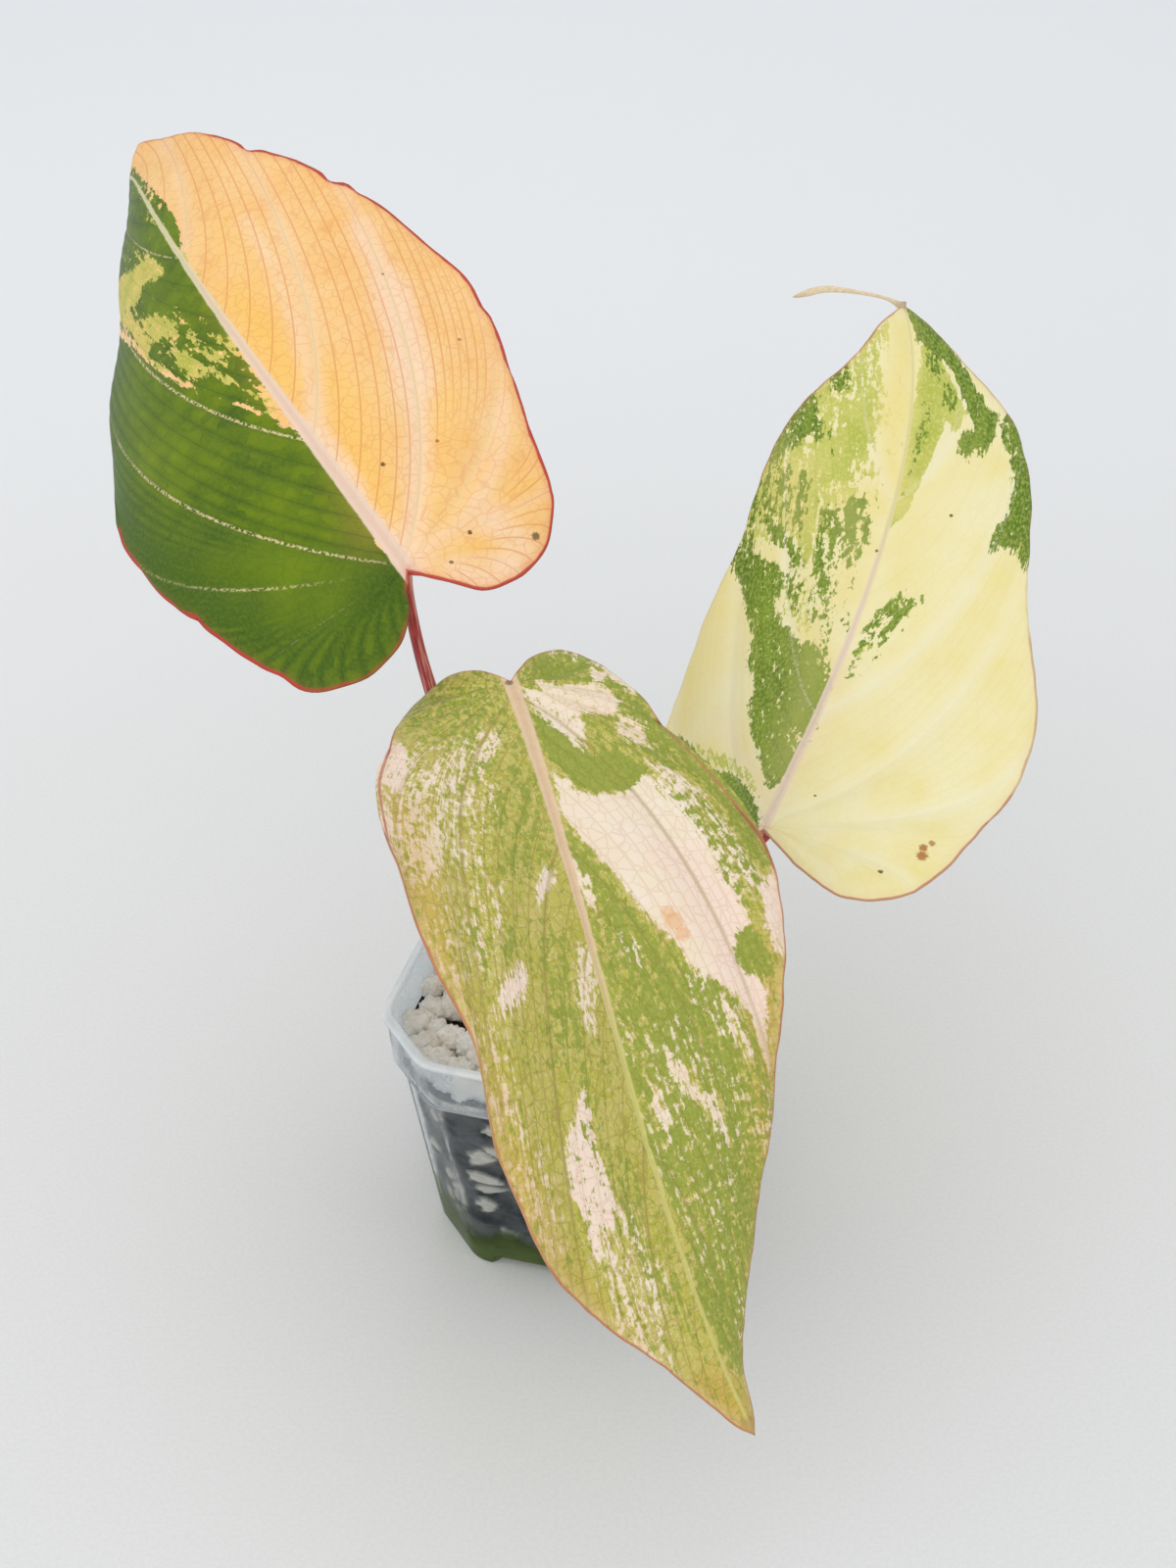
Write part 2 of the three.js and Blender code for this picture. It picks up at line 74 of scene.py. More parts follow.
world = bpy.data.worlds.new("studio")
scene.world = world
world.use_nodes = True
background = world.node_tree.nodes["Background"]
background.inputs["Color"].default_value = (0.955, 0.975, 1.0, 1)
background.inputs["Strength"].default_value = 0.86
area_light("overhead", (-0.45, 0.3, 1.3), (0, 0, 0.1), 1.6, 1.6, (1.0, 0.985, 0.96))
area_light("front_fill", (-0.25, -1.3, 0.8), (0, -0.1, 0.05), 1.8, 6.6, (1.0, 0.98, 0.95))
area_light("back_wash", (0.0, 1.4, 1.3), (0, 1.1, 0), 1.2, 1.6, (0.97, 0.985, 1.0))


# ---------------------------------------------------------------- shader nodes, written as sums

class Wire:
    """One output of a shader node. Plain arithmetic on it makes the math nodes."""

    def __init__(self, net, socket):
        self.net = net
        self.socket = socket

    def __add__(self, other):
        return self.net.math("ADD", self, other)

    __radd__ = __add__

    def __mul__(self, other):
        return self.net.math("MULTIPLY", self, other)

    __rmul__ = __mul__

    def __sub__(self, other):
        return self.net.math("SUBTRACT", self, other)

    def __rsub__(self, other):
        return self.net.math("SUBTRACT", other, self)

    def __pow__(self, other):
        return self.net.math("POWER", self, other)

    def clamp(self):
        return self.net.math("ADD", self, 0.0, clamp=True)

    def abs(self):
        return self.net.math("ABSOLUTE", self)

    def step(self, low, high):
        """0 below low, 1 above high, smooth between. low may be above high."""
        node = self.net.add("ShaderNodeMapRange", interpolation_type="SMOOTHSTEP")
        node.clamp = True
        self.net.plug(node.inputs["Value"], self)
        flip = not isinstance(low, Wire) and not isinstance(high, Wire) and low > high
        bottom, top = (high, low) if flip else (low, high)
        self.net.plug(node.inputs["From Min"], bottom)
        self.net.plug(node.inputs["From Max"], top)
        node.inputs["To Min"].default_value = 1.0 if flip else 0.0
        node.inputs["To Max"].default_value = 0.0 if flip else 1.0
        return Wire(self.net, node.outputs["Result"])


class Net:
    """The node tree of one material."""

    def __init__(self, name):
        self.material = bpy.data.materials.new(name)
        self.material.use_nodes = True
        self.tree = self.material.node_tree
        self.shader = self.tree.nodes["Principled BSDF"]

    def add(self, kind, **settings):
        node = self.tree.nodes.new(kind)
        for key, value in settings.items():
            setattr(node, key, value)
        return node

    def plug(self, socket, value):
        """Links a wire, or sets a number or a colour. A colour is three numbers from 0 to 255."""
        if isinstance(value, Wire):
            self.tree.links.new(value.socket, socket)
        elif isinstance(value, tuple):
            socket.default_value = (*linear(value), 1.0)
        else:
            socket.default_value = value

    def math(self, operation, a, b=None, clamp=False):
        node = self.add("ShaderNodeMath", operation=operation, use_clamp=clamp)
        self.plug(node.inputs[0], a)
        if b is not None:
            self.plug(node.inputs[1], b)
        return Wire(self, node.outputs[0])

    def smaller(self, a, b):
        return self.math("MINIMUM", a, b)

    def larger(self, a, b):
        return self.math("MAXIMUM", a, b)

    def attribute(self, name):
        node = self.add("ShaderNodeAttribute", attribute_type="GEOMETRY", attribute_name=name)
        return Wire(self, node.outputs["Vector"])

    def value(self, name):
        node = self.add("ShaderNodeAttribute", attribute_type="GEOMETRY", attribute_name=name)
        return Wire(self, node.outputs["Fac"])

    def place(self):
        node = self.add("ShaderNodeTexCoord")
        return Wire(self, node.outputs["Object"])

    def split(self, vector):
        node = self.add("ShaderNodeSeparateXYZ")
        self.plug(node.inputs[0], vector)
        return [Wire(self, out) for out in node.outputs]

    def join(self, x, y, z=0.0):
        node = self.add("ShaderNodeCombineXYZ")
        for socket, value in zip(node.inputs, (x, y, z)):
            self.plug(socket, value)
        return Wire(self, node.outputs[0])

    def scaled(self, vector, by):
        """The vector times one number, or times three."""
        if by == 1:
            return vector
        node = self.add("ShaderNodeVectorMath", operation="MULTIPLY")
        self.plug(node.inputs[0], vector)
        node.inputs[1].default_value = by if isinstance(by, tuple) else (by, by, by)
        return Wire(self, node.outputs[0])

    def texture(self, kind, vector, by, **settings):
        node = self.add(kind, **settings)
        self.plug(node.inputs["Vector"], self.scaled(vector, by))
        node.inputs["Scale"].default_value = 1.0
        return node

    def noise(self, vector, by, detail, rough=0.5):
        """Soft noise over the vector times by, with detail as its octaves."""
        node = self.texture("ShaderNodeTexNoise", vector, by)
        node.inputs["Detail"].default_value = detail
        node.inputs["Roughness"].default_value = rough
        return Wire(self, node.outputs["Fac"])

    def cell_value(self, vector, by=1):
        """One random number in each cell."""
        node = self.texture("ShaderNodeTexVoronoi", vector, by)
        return self.split(Wire(self, node.outputs["Color"]))[0]

    def cell_edge(self, vector, by, loose=1.0):
        """Distance to the nearest edge between cells, which are even at loose 0."""
        node = self.texture("ShaderNodeTexVoronoi", vector, by, feature="DISTANCE_TO_EDGE")
        node.inputs["Randomness"].default_value = loose
        return Wire(self, node.outputs["Distance"])

    def blend(self, factor, a, b):
        node = self.add("ShaderNodeMix", data_type="RGBA", clamp_factor=True)
        self.plug(node.inputs["Factor"], factor)
        self.plug(node.inputs[6], a)
        self.plug(node.inputs[7], b)
        return Wire(self, node.outputs[2])

    def bump(self, height, strength, distance):
        node = self.add("ShaderNodeBump")
        node.inputs["Strength"].default_value = strength
        node.inputs["Distance"].default_value = distance
        self.plug(node.inputs["Height"], height)
        return Wire(self, node.outputs["Normal"])

    def finish(self, **sockets):
        for name, value in sockets.items():
            self.plug(self.shader.inputs[name.replace("_", " ")], value)
        return self.material


def linear(colour):
    """A colour of three numbers from 0 to 255 as linear light."""
    return tuple(((c / 255 + 0.055) / 1.055) ** 2.4 if c > 10 else c / 255 / 12.92 for c in colour)


# ---------------------------------------------------------------- meshes

def make_mesh(name, points, faces, attributes=None):
    """A mesh object from points in millimetres, riding on the frame's one body."""
    mesh = bpy.data.meshes.new(name)
    mesh.from_pydata((np.asarray(points) * MM).tolist(), [], [tuple(f) for f in faces])
    for key, values in (attributes or {}).items():
        values = np.asarray(values, dtype=np.float32)
        if values.ndim == 2:
            layer = mesh.attributes.new(key, "FLOAT_VECTOR", "POINT")
            layer.data.foreach_set("vector", values.ravel())
        else:
            layer = mesh.attributes.new(key, "FLOAT", "POINT")
            layer.data.foreach_set("value", values)
    mesh.validate()
    mesh.update()
    mesh.shade_smooth()
    piece = bpy.data.objects.new(name, mesh)
    scene.collection.objects.link(piece)
    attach(piece, "root")
    return piece


def dress(piece, material, node):
    piece.data.materials.append(material)
    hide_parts(node)
    return piece


def grid_faces(rows, columns, first=0, closed=False, flip=False):
    """Quads over a grid of points stored row by row. Closed joins the last column to the first."""
    i = np.arange(rows - 1)[:, None]
    j = np.arange(columns if closed else columns - 1)[None, :]
    a = first + i * columns + j
    b = first + i * columns + (j + 1) % columns
    quads = np.stack([a, b, b + columns, a + columns], axis=-1).reshape(-1, 4)
    return quads[:, ::-1] if flip else quads


def closed_skin(points, columns, low, high):
    """Rings of points as a closed skin: fans join the first ring to the point low and the last one to high."""
    count = len(points)
    faces = grid_faces(count // columns, columns, closed=True).tolist()
    last = count - columns
    for i in range(columns):
        n = (i + 1) % columns
        faces += [(count, n, i), (count + 1, last + i, last + n)]
    return np.vstack([points, low, high]), faces


def weld(piece):
    """Joins points that lie on one another and drops faces with no width."""
    work = bmesh.new()
    work.from_mesh(piece.data)
    bmesh.ops.remove_doubles(work, verts=work.verts, dist=2e-6)
    bmesh.ops.dissolve_degenerate(work, edges=work.edges, dist=1e-7)
    bmesh.ops.recalc_face_normals(work, faces=work.faces)
    work.to_mesh(piece.data)
    work.free()
    piece.data.shade_smooth()


# ---------------------------------------------------------------- lines and curves

def unit(vectors):
    return vectors / np.maximum(1e-9, np.linalg.norm(vectors, axis=-1, keepdims=True))


def lengths_along(line):
    """How far along a line each of its points lies."""
    return np.r_[0, np.cumsum(np.linalg.norm(np.diff(line, axis=0), axis=1))]


def turns(count):
    return 2 * np.pi * np.arange(count) / count


def through_three(values, k):
    a, b, c = values
    return a * (1 - k) * (1 - 2 * k) + b * 4 * k * (1 - k) + c * k * (2 * k - 1)


def curve_through(points, shares, samples=3000):
    """Centripetal curve through the points, read at shares of its length."""
    p = np.asarray(points, float)
    padded = np.vstack([2 * p[0] - p[1], p, 2 * p[-1] - p[-2]])
    t = np.linspace(0, len(p) - 1, samples)
    i = np.minimum(t.astype(int), len(p) - 2)
    f = (t - i)[:, None]
    p0, p1, p2, p3 = (padded[i + k] for k in range(4))
    d0, d1, d2 = (np.sqrt(np.linalg.norm(b - a, axis=1, keepdims=True)) for a, b in ((p0, p1), (p1, p2), (p2, p3)))
    m1 = d1 * ((p1 - p0) / d0 - (p2 - p0) / (d0 + d1) + (p2 - p1) / d1)
    m2 = d1 * ((p2 - p1) / d1 - (p3 - p1) / (d1 + d2) + (p3 - p2) / d2)
    line = p1 + m1 * f + (-3 * p1 + 3 * p2 - 2 * m1 - m2) * f**2 + (2 * p1 - 2 * p2 + m1 + m2) * f**3
    travelled = lengths_along(line)
    at = np.asarray(shares) * travelled[-1]
    return np.stack([np.interp(at, travelled, line[:, c]) for c in range(line.shape[1])], axis=-1)


def bezier(points, t):
    """Point and derivative of a Bezier curve of any degree."""
    level = [np.asarray(p, float)[None, :] + 0 * t[:, None] for p in points]
    while len(level) > 2:
        level = [a + (b - a) * t[:, None] for a, b in zip(level, level[1:])]
    return level[0] + (level[1] - level[0]) * t[:, None], (level[1] - level[0]) * (len(points) - 1)


def nearest(points, line):
    """Distance from each point to a polyline, both flat."""
    best = np.full(len(points), 1e9)
    for a, b in zip(line[:-1], line[1:]):
        step = b - a
        size = float(step @ step)
        if size < 1e-12:
            continue
        share = np.clip(((points - a) @ step) / size, 0, 1)
        gap = points - a - share[:, None] * step
        best = np.minimum(best, np.einsum("ij,ij->i", gap, gap))
    return np.sqrt(best)


def inside(points, ring):
    """Whether each flat point lies inside a closed ring."""
    hit = np.zeros(len(points), bool)
    for a, b in zip(ring, np.roll(ring, -1, axis=0)):
        level = (a[1] > points[:, 1]) != (b[1] > points[:, 1])
        with np.errstate(divide="ignore", invalid="ignore"):
            cross = (b[0] - a[0]) * (points[:, 1] - a[1]) / (b[1] - a[1]) + a[0]
        hit ^= level & (points[:, 0] < cross)
    return hit


def smooth(value, low, high):
    share = np.clip((value - low) / (high - low), 0, 1)
    return share * share * (3 - 2 * share)


# ---------------------------------------------------------------- blades

BLADE_THICK = 0.9
RIB_DEPTH = 1.5
RIB_SINK = 0.25
# Where the main side veins meet the margin, as shares of it, and the mesh's steps between them.
VEINS = [0, 0.11, 0.21, 0.44, 0.645, 0.78, 0.905, 1]
FINE_STEPS = [18, 18, 38, 36, 26, 24, 20]
FINE_ROWS = 64
ROW_GATHER = 1.3
# The middle point of each side vein's curve: its share of the way out and of the way along.
VEIN_BEND = (0.93, 0.31)
# Relief: puffs between the main side veins, waves where a side is wider than WAVY_FROM, fine ridges.
PUFF = 0.9
WAVE = 0.9
WAVY_FROM = 35
FINE_PITCH = 6.0
FINE_RELIEF = 0.06
VEIN_HALF = 1.1
VEIN_SINK = 0.32
VEIN_RISE_BELOW = 0.55
RIM_ROUND = 0.2

BLADES = {
    "leaf_back_left": dict(
        midrib=[(-38, 5, 205.5), (-77, 44, 243.5), (-114, 105.5, 254), (-125.5, 155.5, 259), (-126, 173, 236)],
        roll=(-17, -32, -70),
        waves=5,
        fold={-1: (-5, -11, -8), 1: (-5, -11, -8)},
        curl={-1: (-24, -58, -54), 1: (-8, -15, -40)},
        nicks={1: [(147, -1.7, 2.6), (133, 0.8, 5), (119, -1.6, 2.4), (111, -0.8, 2.5), (72, 0.7, 6), (60, -0.8, 3)],
               -1: [(-6, -0.9, 3), (22, -0.9, 3.5), (60, 0.7, 6)]},
        knuckles=[((-119.2, 168.8, 251.7), (-4.2, 1.6, 2.8), 11)],
        outline={
            -1: [(0, -1), (5.5, -9), (13, -15.5), (24, -17.5), (36, -13.5), (43, -2), (48, 17), (54, 37),
                 (57, 60), (58, 85), (51.5, 108), (41.5, 131), (29, 155), (15.5, 178), (5.5, 196), (0, 205)],
            1: [(0, -1), (7, -8.5), (13, -15), (23.5, -17), (35.5, -13), (44, -2.5), (50, 16.5), (56.5, 37.5),
                (61, 60), (58, 85), (51, 109), (40, 130), (28.5, 155), (15.5, 178.5), (5.5, 196), (0, 205)],
        },
    ),
    "leaf_back_right": dict(
        midrib=[(52.2, -2.8, 133.4), (70.2, 36.5, 145.5), (91.1, 68.8, 175.1), (102.6, 101.1, 204.8),
                (97.1, 136.9, 217.4)],
        roll=(-15, -2, 15),
        waves=4,
        fold={-1: (-11, -8, -2), 1: (-8.5, -4.5, 1.5)},
        curl={-1: (-19, -21, -15), 1: (-18.5, -10.5, -17)},
        outline={
            -1: [(0, -1), (6, -9), (14, -16), (25, -20), (39, -14), (47, -2), (52, 14), (53.5, 30), (53, 50),
                 (48.5, 70), (43, 91), (39.5, 114), (31, 133), (17, 151), (7, 165), (0, 172)],
            1: [(0, -1), (8.5, -8), (16, -14), (27, -20), (40, -14.5), (48, -2.5), (53, 14.5), (57, 30),
                (56, 50), (48.5, 70), (40.5, 90), (36.5, 113), (30, 133), (17, 151), (6.5, 165), (0, 172)],
        },
    ),
    "leaf_front": dict(
        midrib=[(-12.3, -11.3, 182.5), (2.7, -63.2, 168.7), (13.4, -101.6, 140.9), (24.5, -126.5, 101.8),
                (45.2, -136, 55.2)],
        roll=(0, -16, 25),
        waves=6,
        fold={-1: (-8, 9, -27), 1: (-12, 11, -30)},
        curl={-1: (-13, 2.5, -28), 1: (-15, -1, -32)},
        outline={
            -1: [(0, -1), (3.5, -5), (8, -9), (16, -11), (24, -8), (30.5, 2.5), (35, 18), (43, 34.5),
                 (49.5, 51.5), (50, 73.5), (44.5, 93), (38, 113), (31, 132.5), (23, 151), (13, 169), (5.5, 182.5),
                 (3, 192.5), (0, 197)],
            1: [(0, -1), (3.5, -5), (8, -9), (15.5, -11.5), (23.5, -7.5), (29.5, 3), (35, 18), (42, 34.5),
                (46.5, 52), (46.5, 73), (42, 93), (40.5, 113.5), (35, 133.5), (24.5, 151), (13.5, 169), (7, 183),
                (3, 192.5), (0, 197)],
        },
    ),
}


class Surface:
    """The bent face of a blade: flat places to points and normals."""

    def __init__(self, blade):
        self.blade = blade
        self.t = np.linspace(-0.35, 1.12, 301)
        line = bezier(blade["midrib"], self.t)[0]
        travelled = lengths_along(line)
        self.y = travelled - np.interp(0, self.t, travelled)
        self.length = float(np.interp(1, self.t, self.y))

    def at(self, x, y, side):
        x, y = np.ravel(x), np.ravel(y)
        point, along = bezier(self.blade["midrib"], np.interp(y, self.y, self.t))
        along = unit(along)
        k = np.clip(y / self.length, -0.15, 1)
        up = unit(np.array([0, 0, 1.0]) - along * along[:, 2:])
        across = np.cross(along, up)
        roll = np.radians(through_three(self.blade["roll"], k))[:, None]
        normal = up * np.cos(roll) + across * np.sin(roll)
        across = across * np.cos(roll) - up * np.sin(roll)
        fold = np.radians(through_three(self.blade["fold"][side], k))
        curl = np.radians(through_three(self.blade["curl"][side], k)) / 100
        curl = np.where(np.abs(curl) < 1e-6, 1e-6, curl)
        end = fold + curl * x
        out = ((np.sin(end) - np.sin(fold)) / curl)[:, None]
        rise = ((np.cos(fold) - np.cos(end)) / curl)[:, None]
        point = point + across * side * out + normal * rise
        tilt = np.where(x < 0.01, 0, end)[:, None]
        return point, normal * np.cos(tilt) - across * side * np.sin(tilt)


def painted(points, ground, strokes):
    """Lays strokes over a ground. A stroke is (cover, edge, places) for a filled ring, and a line has its half
    width as a fourth. The edge is the distance over which it fades."""
    cover = np.full(len(points), float(ground))
    for amount, edge, places, *width in strokes:
        places = np.asarray(places, float)
        if width:
            signed = width[0] - nearest(points, places)
        else:
            ring = np.vstack([places, places[:1]])
            signed = nearest(points, ring) * np.where(inside(points, places), 1, -1)
        share = smooth(signed, -edge, edge)
        cover = cover * (1 - share) + amount * share
    return cover


def vein_start(y, length):
    """Where on the midrib the side vein leaves that meets the margin at y."""
    return length * np.maximum(0, (y / length - 0.55) / 0.45) ** 1.8


# How far each main side vein's line is held back, which makes it fainter, and the channels of the paint.
MAIN_FAINT = [0.75, 0.4, 0, 0, 0, 0.2]
PAINT_KEYS = ("deep", "lime", "blush", "warm", "rim")


def blade_mesh(name, paint):
    """A blade as a fan of side veins: a row of points along each, on its upper and its lower face."""
    blade = BLADES[name]
    surface = Surface(blade)
    length = surface.length
    shares, between, interval = [], [], []
    for i, steps in enumerate(FINE_STEPS):
        for s in range(steps):
            shares.append(VEINS[i] + (VEINS[i + 1] - VEINS[i]) * s / steps)
            between.append(s / steps)
            interval.append(i)
    shares, between, interval = np.r_[shares, 1.0], np.r_[between, 0.0], np.r_[interval, len(FINE_STEPS) - 1]
    rows = np.linspace(0, 1, FINE_ROWS) ** ROW_GATHER
    ends = {side: curve_through(blade["outline"][side], shares) for side in (-1, 1)}
    starts = vein_start((ends[-1][:, 1] + ends[1][:, 1]) / 2, length)
    starts[-1] = length

    points, faces, facts = [], [], {key: [] for key in ("flat", "fan", "veins", "paint", "extra", "under")}
    first = 0
    for side in (-1, 1):
        end = ends[side].copy()
        ripple = [0.9 * noise.noise(Vector((k * 13 + 5.0, side * 3.0, length)))
                  + 0.45 * noise.noise(Vector((k * 34, side * 7.0, length))) for k in shares]
        outward = unit(np.gradient(end, axis=0)[:, ::-1] * (1, -1))
        end += outward * (np.array(ripple) * smooth(np.minimum(shares, 1 - shares), 0.0, 0.08))[:, None]
        for at, amount, width in blade.get("nicks", {}).get(side, []):
            end += outward * (amount * np.exp(-(((end[:, 1] - at) / width) ** 2)))[:, None]
        end[:, 0] = np.maximum(0, end[:, 0])
        end[-1, 1] = length
        span = float(np.linalg.norm(np.diff(end, axis=0), axis=1).sum())
        w = rows[None, :]
        ex, ey, sy = end[:, :1], end[:, 1:], starts[:, None]
        x = 2 * w * (1 - w) * VEIN_BEND[0] * ex + w * w * ex
        y = (1 - w) ** 2 * sy + 2 * w * (1 - w) * (sy + VEIN_BEND[1] * (ey - sy)) + w * w * ey
        flat = np.stack([x, y], axis=-1)
        plain = flat.reshape(-1, 2)

        # Numbers along and across the fine side veins, for the patterns.
        step = np.linalg.norm(np.diff(flat, axis=1), axis=2)
        along = np.concatenate([np.zeros((len(shares), 1)), np.cumsum(step, axis=1)], axis=1)
        counts = [max(2, round((VEINS[i + 1] - VEINS[i]) * span / FINE_PITCH)) for i in range(len(FINE_STEPS))]
        begun = np.r_[0, np.cumsum(counts)]
        number = begun[interval] + between * np.array(counts)[interval]
        number[-1] = begun[-1]
        gone = unit(np.gradient(flat, axis=1))
        aside = np.gradient(flat, axis=0) / np.gradient(number)[:, None, None]
        pitch = np.abs(aside[..., 0] * gone[..., 1] - aside[..., 1] * gone[..., 0])

        mains = [np.searchsorted(shares, v - 1e-9) for v in VEINS[1:-1]]
        rib = np.min([nearest(plain, flat[m]) + faint for m, faint in zip(mains, MAIN_FAINT)], axis=0)
        edge = nearest(plain, end)
        signed = plain * np.array([side, 1.0])
        colours = np.stack([painted(signed, *paint[key]) for key in PAINT_KEYS], axis=-1)

        # Height above the middle face: puffs between the main side veins, a waved margin and sunk veins.
        broad = np.minimum(1, ex / WAVY_FROM)
        b = between[:, None]
        swell = PUFF * broad * np.sin(np.pi * b) ** 2 * np.sin(np.pi * w**0.8)
        wave = WAVE * broad * w**3 * np.sin(2 * np.pi * blade["waves"] * shares[:, None])
        fine = FINE_RELIEF * np.cos(2 * np.pi * number)[:, None] * smooth(pitch, 1.5, 3.5)
        rib2, edge2 = rib.reshape(x.shape), edge.reshape(x.shape)
        sunk = np.exp(-((rib2 / VEIN_HALF) ** 2)) * (1 - 0.6 * w) * smooth(pitch, 0.4, 1.6)
        core = np.exp(-((x / 1.7) ** 2))
        beside = np.exp(-(((x - 3.4) / 1.9) ** 2))
        thin = BLADE_THICK * (1 - 0.45 * smooth(-edge2, -2.5, 0))
        fade = np.clip(1 - y / length, 0, 1) ** 0.7
        top = swell + wave - fine - VEIN_SINK * sunk - RIB_SINK * core - 0.2 * beside * fade + thin / 2
        rib_height = RIB_DEPTH * fade * np.exp(-((x / (0.7 + 1.5 * fade)) ** 2) * 1.3)
        low = swell + wave - fine - VEIN_RISE_BELOW * sunk - RIB_SINK * core - thin / 2 - rib_height

        point, normal = surface.at(x, y, side)
        for centre, push, width in blade.get("knuckles", []):
            gap = np.linalg.norm(point - centre, axis=1)
            point = point + np.exp(-((gap / width) ** 2))[:, None] * np.array(push)
        grid = point.reshape(*x.shape, 3)
        rim_out = unit(np.cross(normal.reshape(*x.shape, 3)[:, -1], np.gradient(grid[:, -1], axis=0)))
        toward = grid[:, -1] - grid[:, -2]
        rim_out *= np.sign(np.einsum("ij,ij->i", rim_out, toward))[:, None]
        upper = point + normal * top.reshape(-1, 1)
        lower = point + normal * low.reshape(-1, 1)
        middle = (upper + lower).reshape(*x.shape, 3)[:, -1] / 2 + rim_out * RIM_ROUND

        n = len(plain)
        pair = np.stack([np.repeat(number, FINE_ROWS), along.ravel(), np.full(n, float(side))], axis=1)
        lines = np.stack([rib, edge, pitch.ravel()], axis=1)
        place = np.stack([signed[:, 0], signed[:, 1], np.zeros(n)], axis=1)
        last = np.arange(len(shares)) * FINE_ROWS + FINE_ROWS - 1
        points += [upper, lower, middle]
        for key, values in (("flat", place), ("fan", pair), ("veins", lines), ("paint", colours[:, :3]),
                            ("extra", np.column_stack([colours[:, 3:], np.zeros(n)]))):
            facts[key] += [values, values, values[last]]
        facts["under"] += [np.zeros(n), np.ones(n), np.full(len(shares), 0.5)]
        faces.append(grid_faces(len(shares), FINE_ROWS, first, flip=side < 0))
        faces.append(grid_faces(len(shares), FINE_ROWS, first + n, flip=side > 0))
        rim = first + 2 * n + np.arange(len(shares))
        for a, b in ((first + last, rim), (rim, first + n + last)):
            quads = np.stack([a[:-1], a[1:], b[1:], b[:-1]], axis=1)
            faces.append(quads if side > 0 else quads[:, ::-1])
        first += 2 * n + len(shares)

    facts = {key: np.concatenate(values) for key, values in facts.items()}
    piece = make_mesh(f"{name}_blade", np.concatenate(points), np.concatenate(faces), facts)
    weld(piece)
    bake_map(piece, length)
    return piece


# The map: how much of it a blade fills and its edge, as shares, then in mm half a face's width, the room below
# the blade's base, the room in all, and how far outside the margin the rim is laid.
MAP_FILL, MAP_EDGE = 0.96, 0.01
MAP_HALF, MAP_BELOW, MAP_SPARE, MAP_RIM = 66, 24, 30, 1.6


def fetched(rows, key, kind, width=1):
    """One property of all the rows of a mesh's table."""
    values = np.empty(len(rows) * width, dtype=kind)
    rows.foreach_get(key, values)
    return values


def bake_map(piece, length):
    """A flat map of the blade: its upper face on the left, its lower face on the right."""
    mesh = piece.data
    flat = fetched(mesh.attributes["flat"].data, "vector", np.float32, 3).reshape(-1, 3)
    corner = fetched(mesh.loops, "vertex_index", np.int32)
    totals = fetched(mesh.polygons, "loop_total", np.int32)
    owner = np.repeat(np.arange(len(totals)), totals)
    rim = fetched(mesh.attributes["under"].data, "value", np.float32)[corner]
    below = (np.bincount(owner, rim) / totals > 0.5)[owner]
    x = flat[corner, 0] + np.sign(flat[corner, 0]) * np.where(below, 1 - rim, rim) * MAP_RIM
    u = (x + MAP_HALF) / (4 * MAP_HALF) + np.where(below, 0.5, 0.0)
    v = (flat[corner, 1] + MAP_BELOW) * MAP_FILL / (length + MAP_SPARE) + MAP_EDGE
    layer = mesh.uv_layers.new(name="OFBake")
    layer.data.foreach_set("uv", np.stack([u, v], axis=1).astype(np.float32).ravel())


# ---------------------------------------------------------------- leaf finish

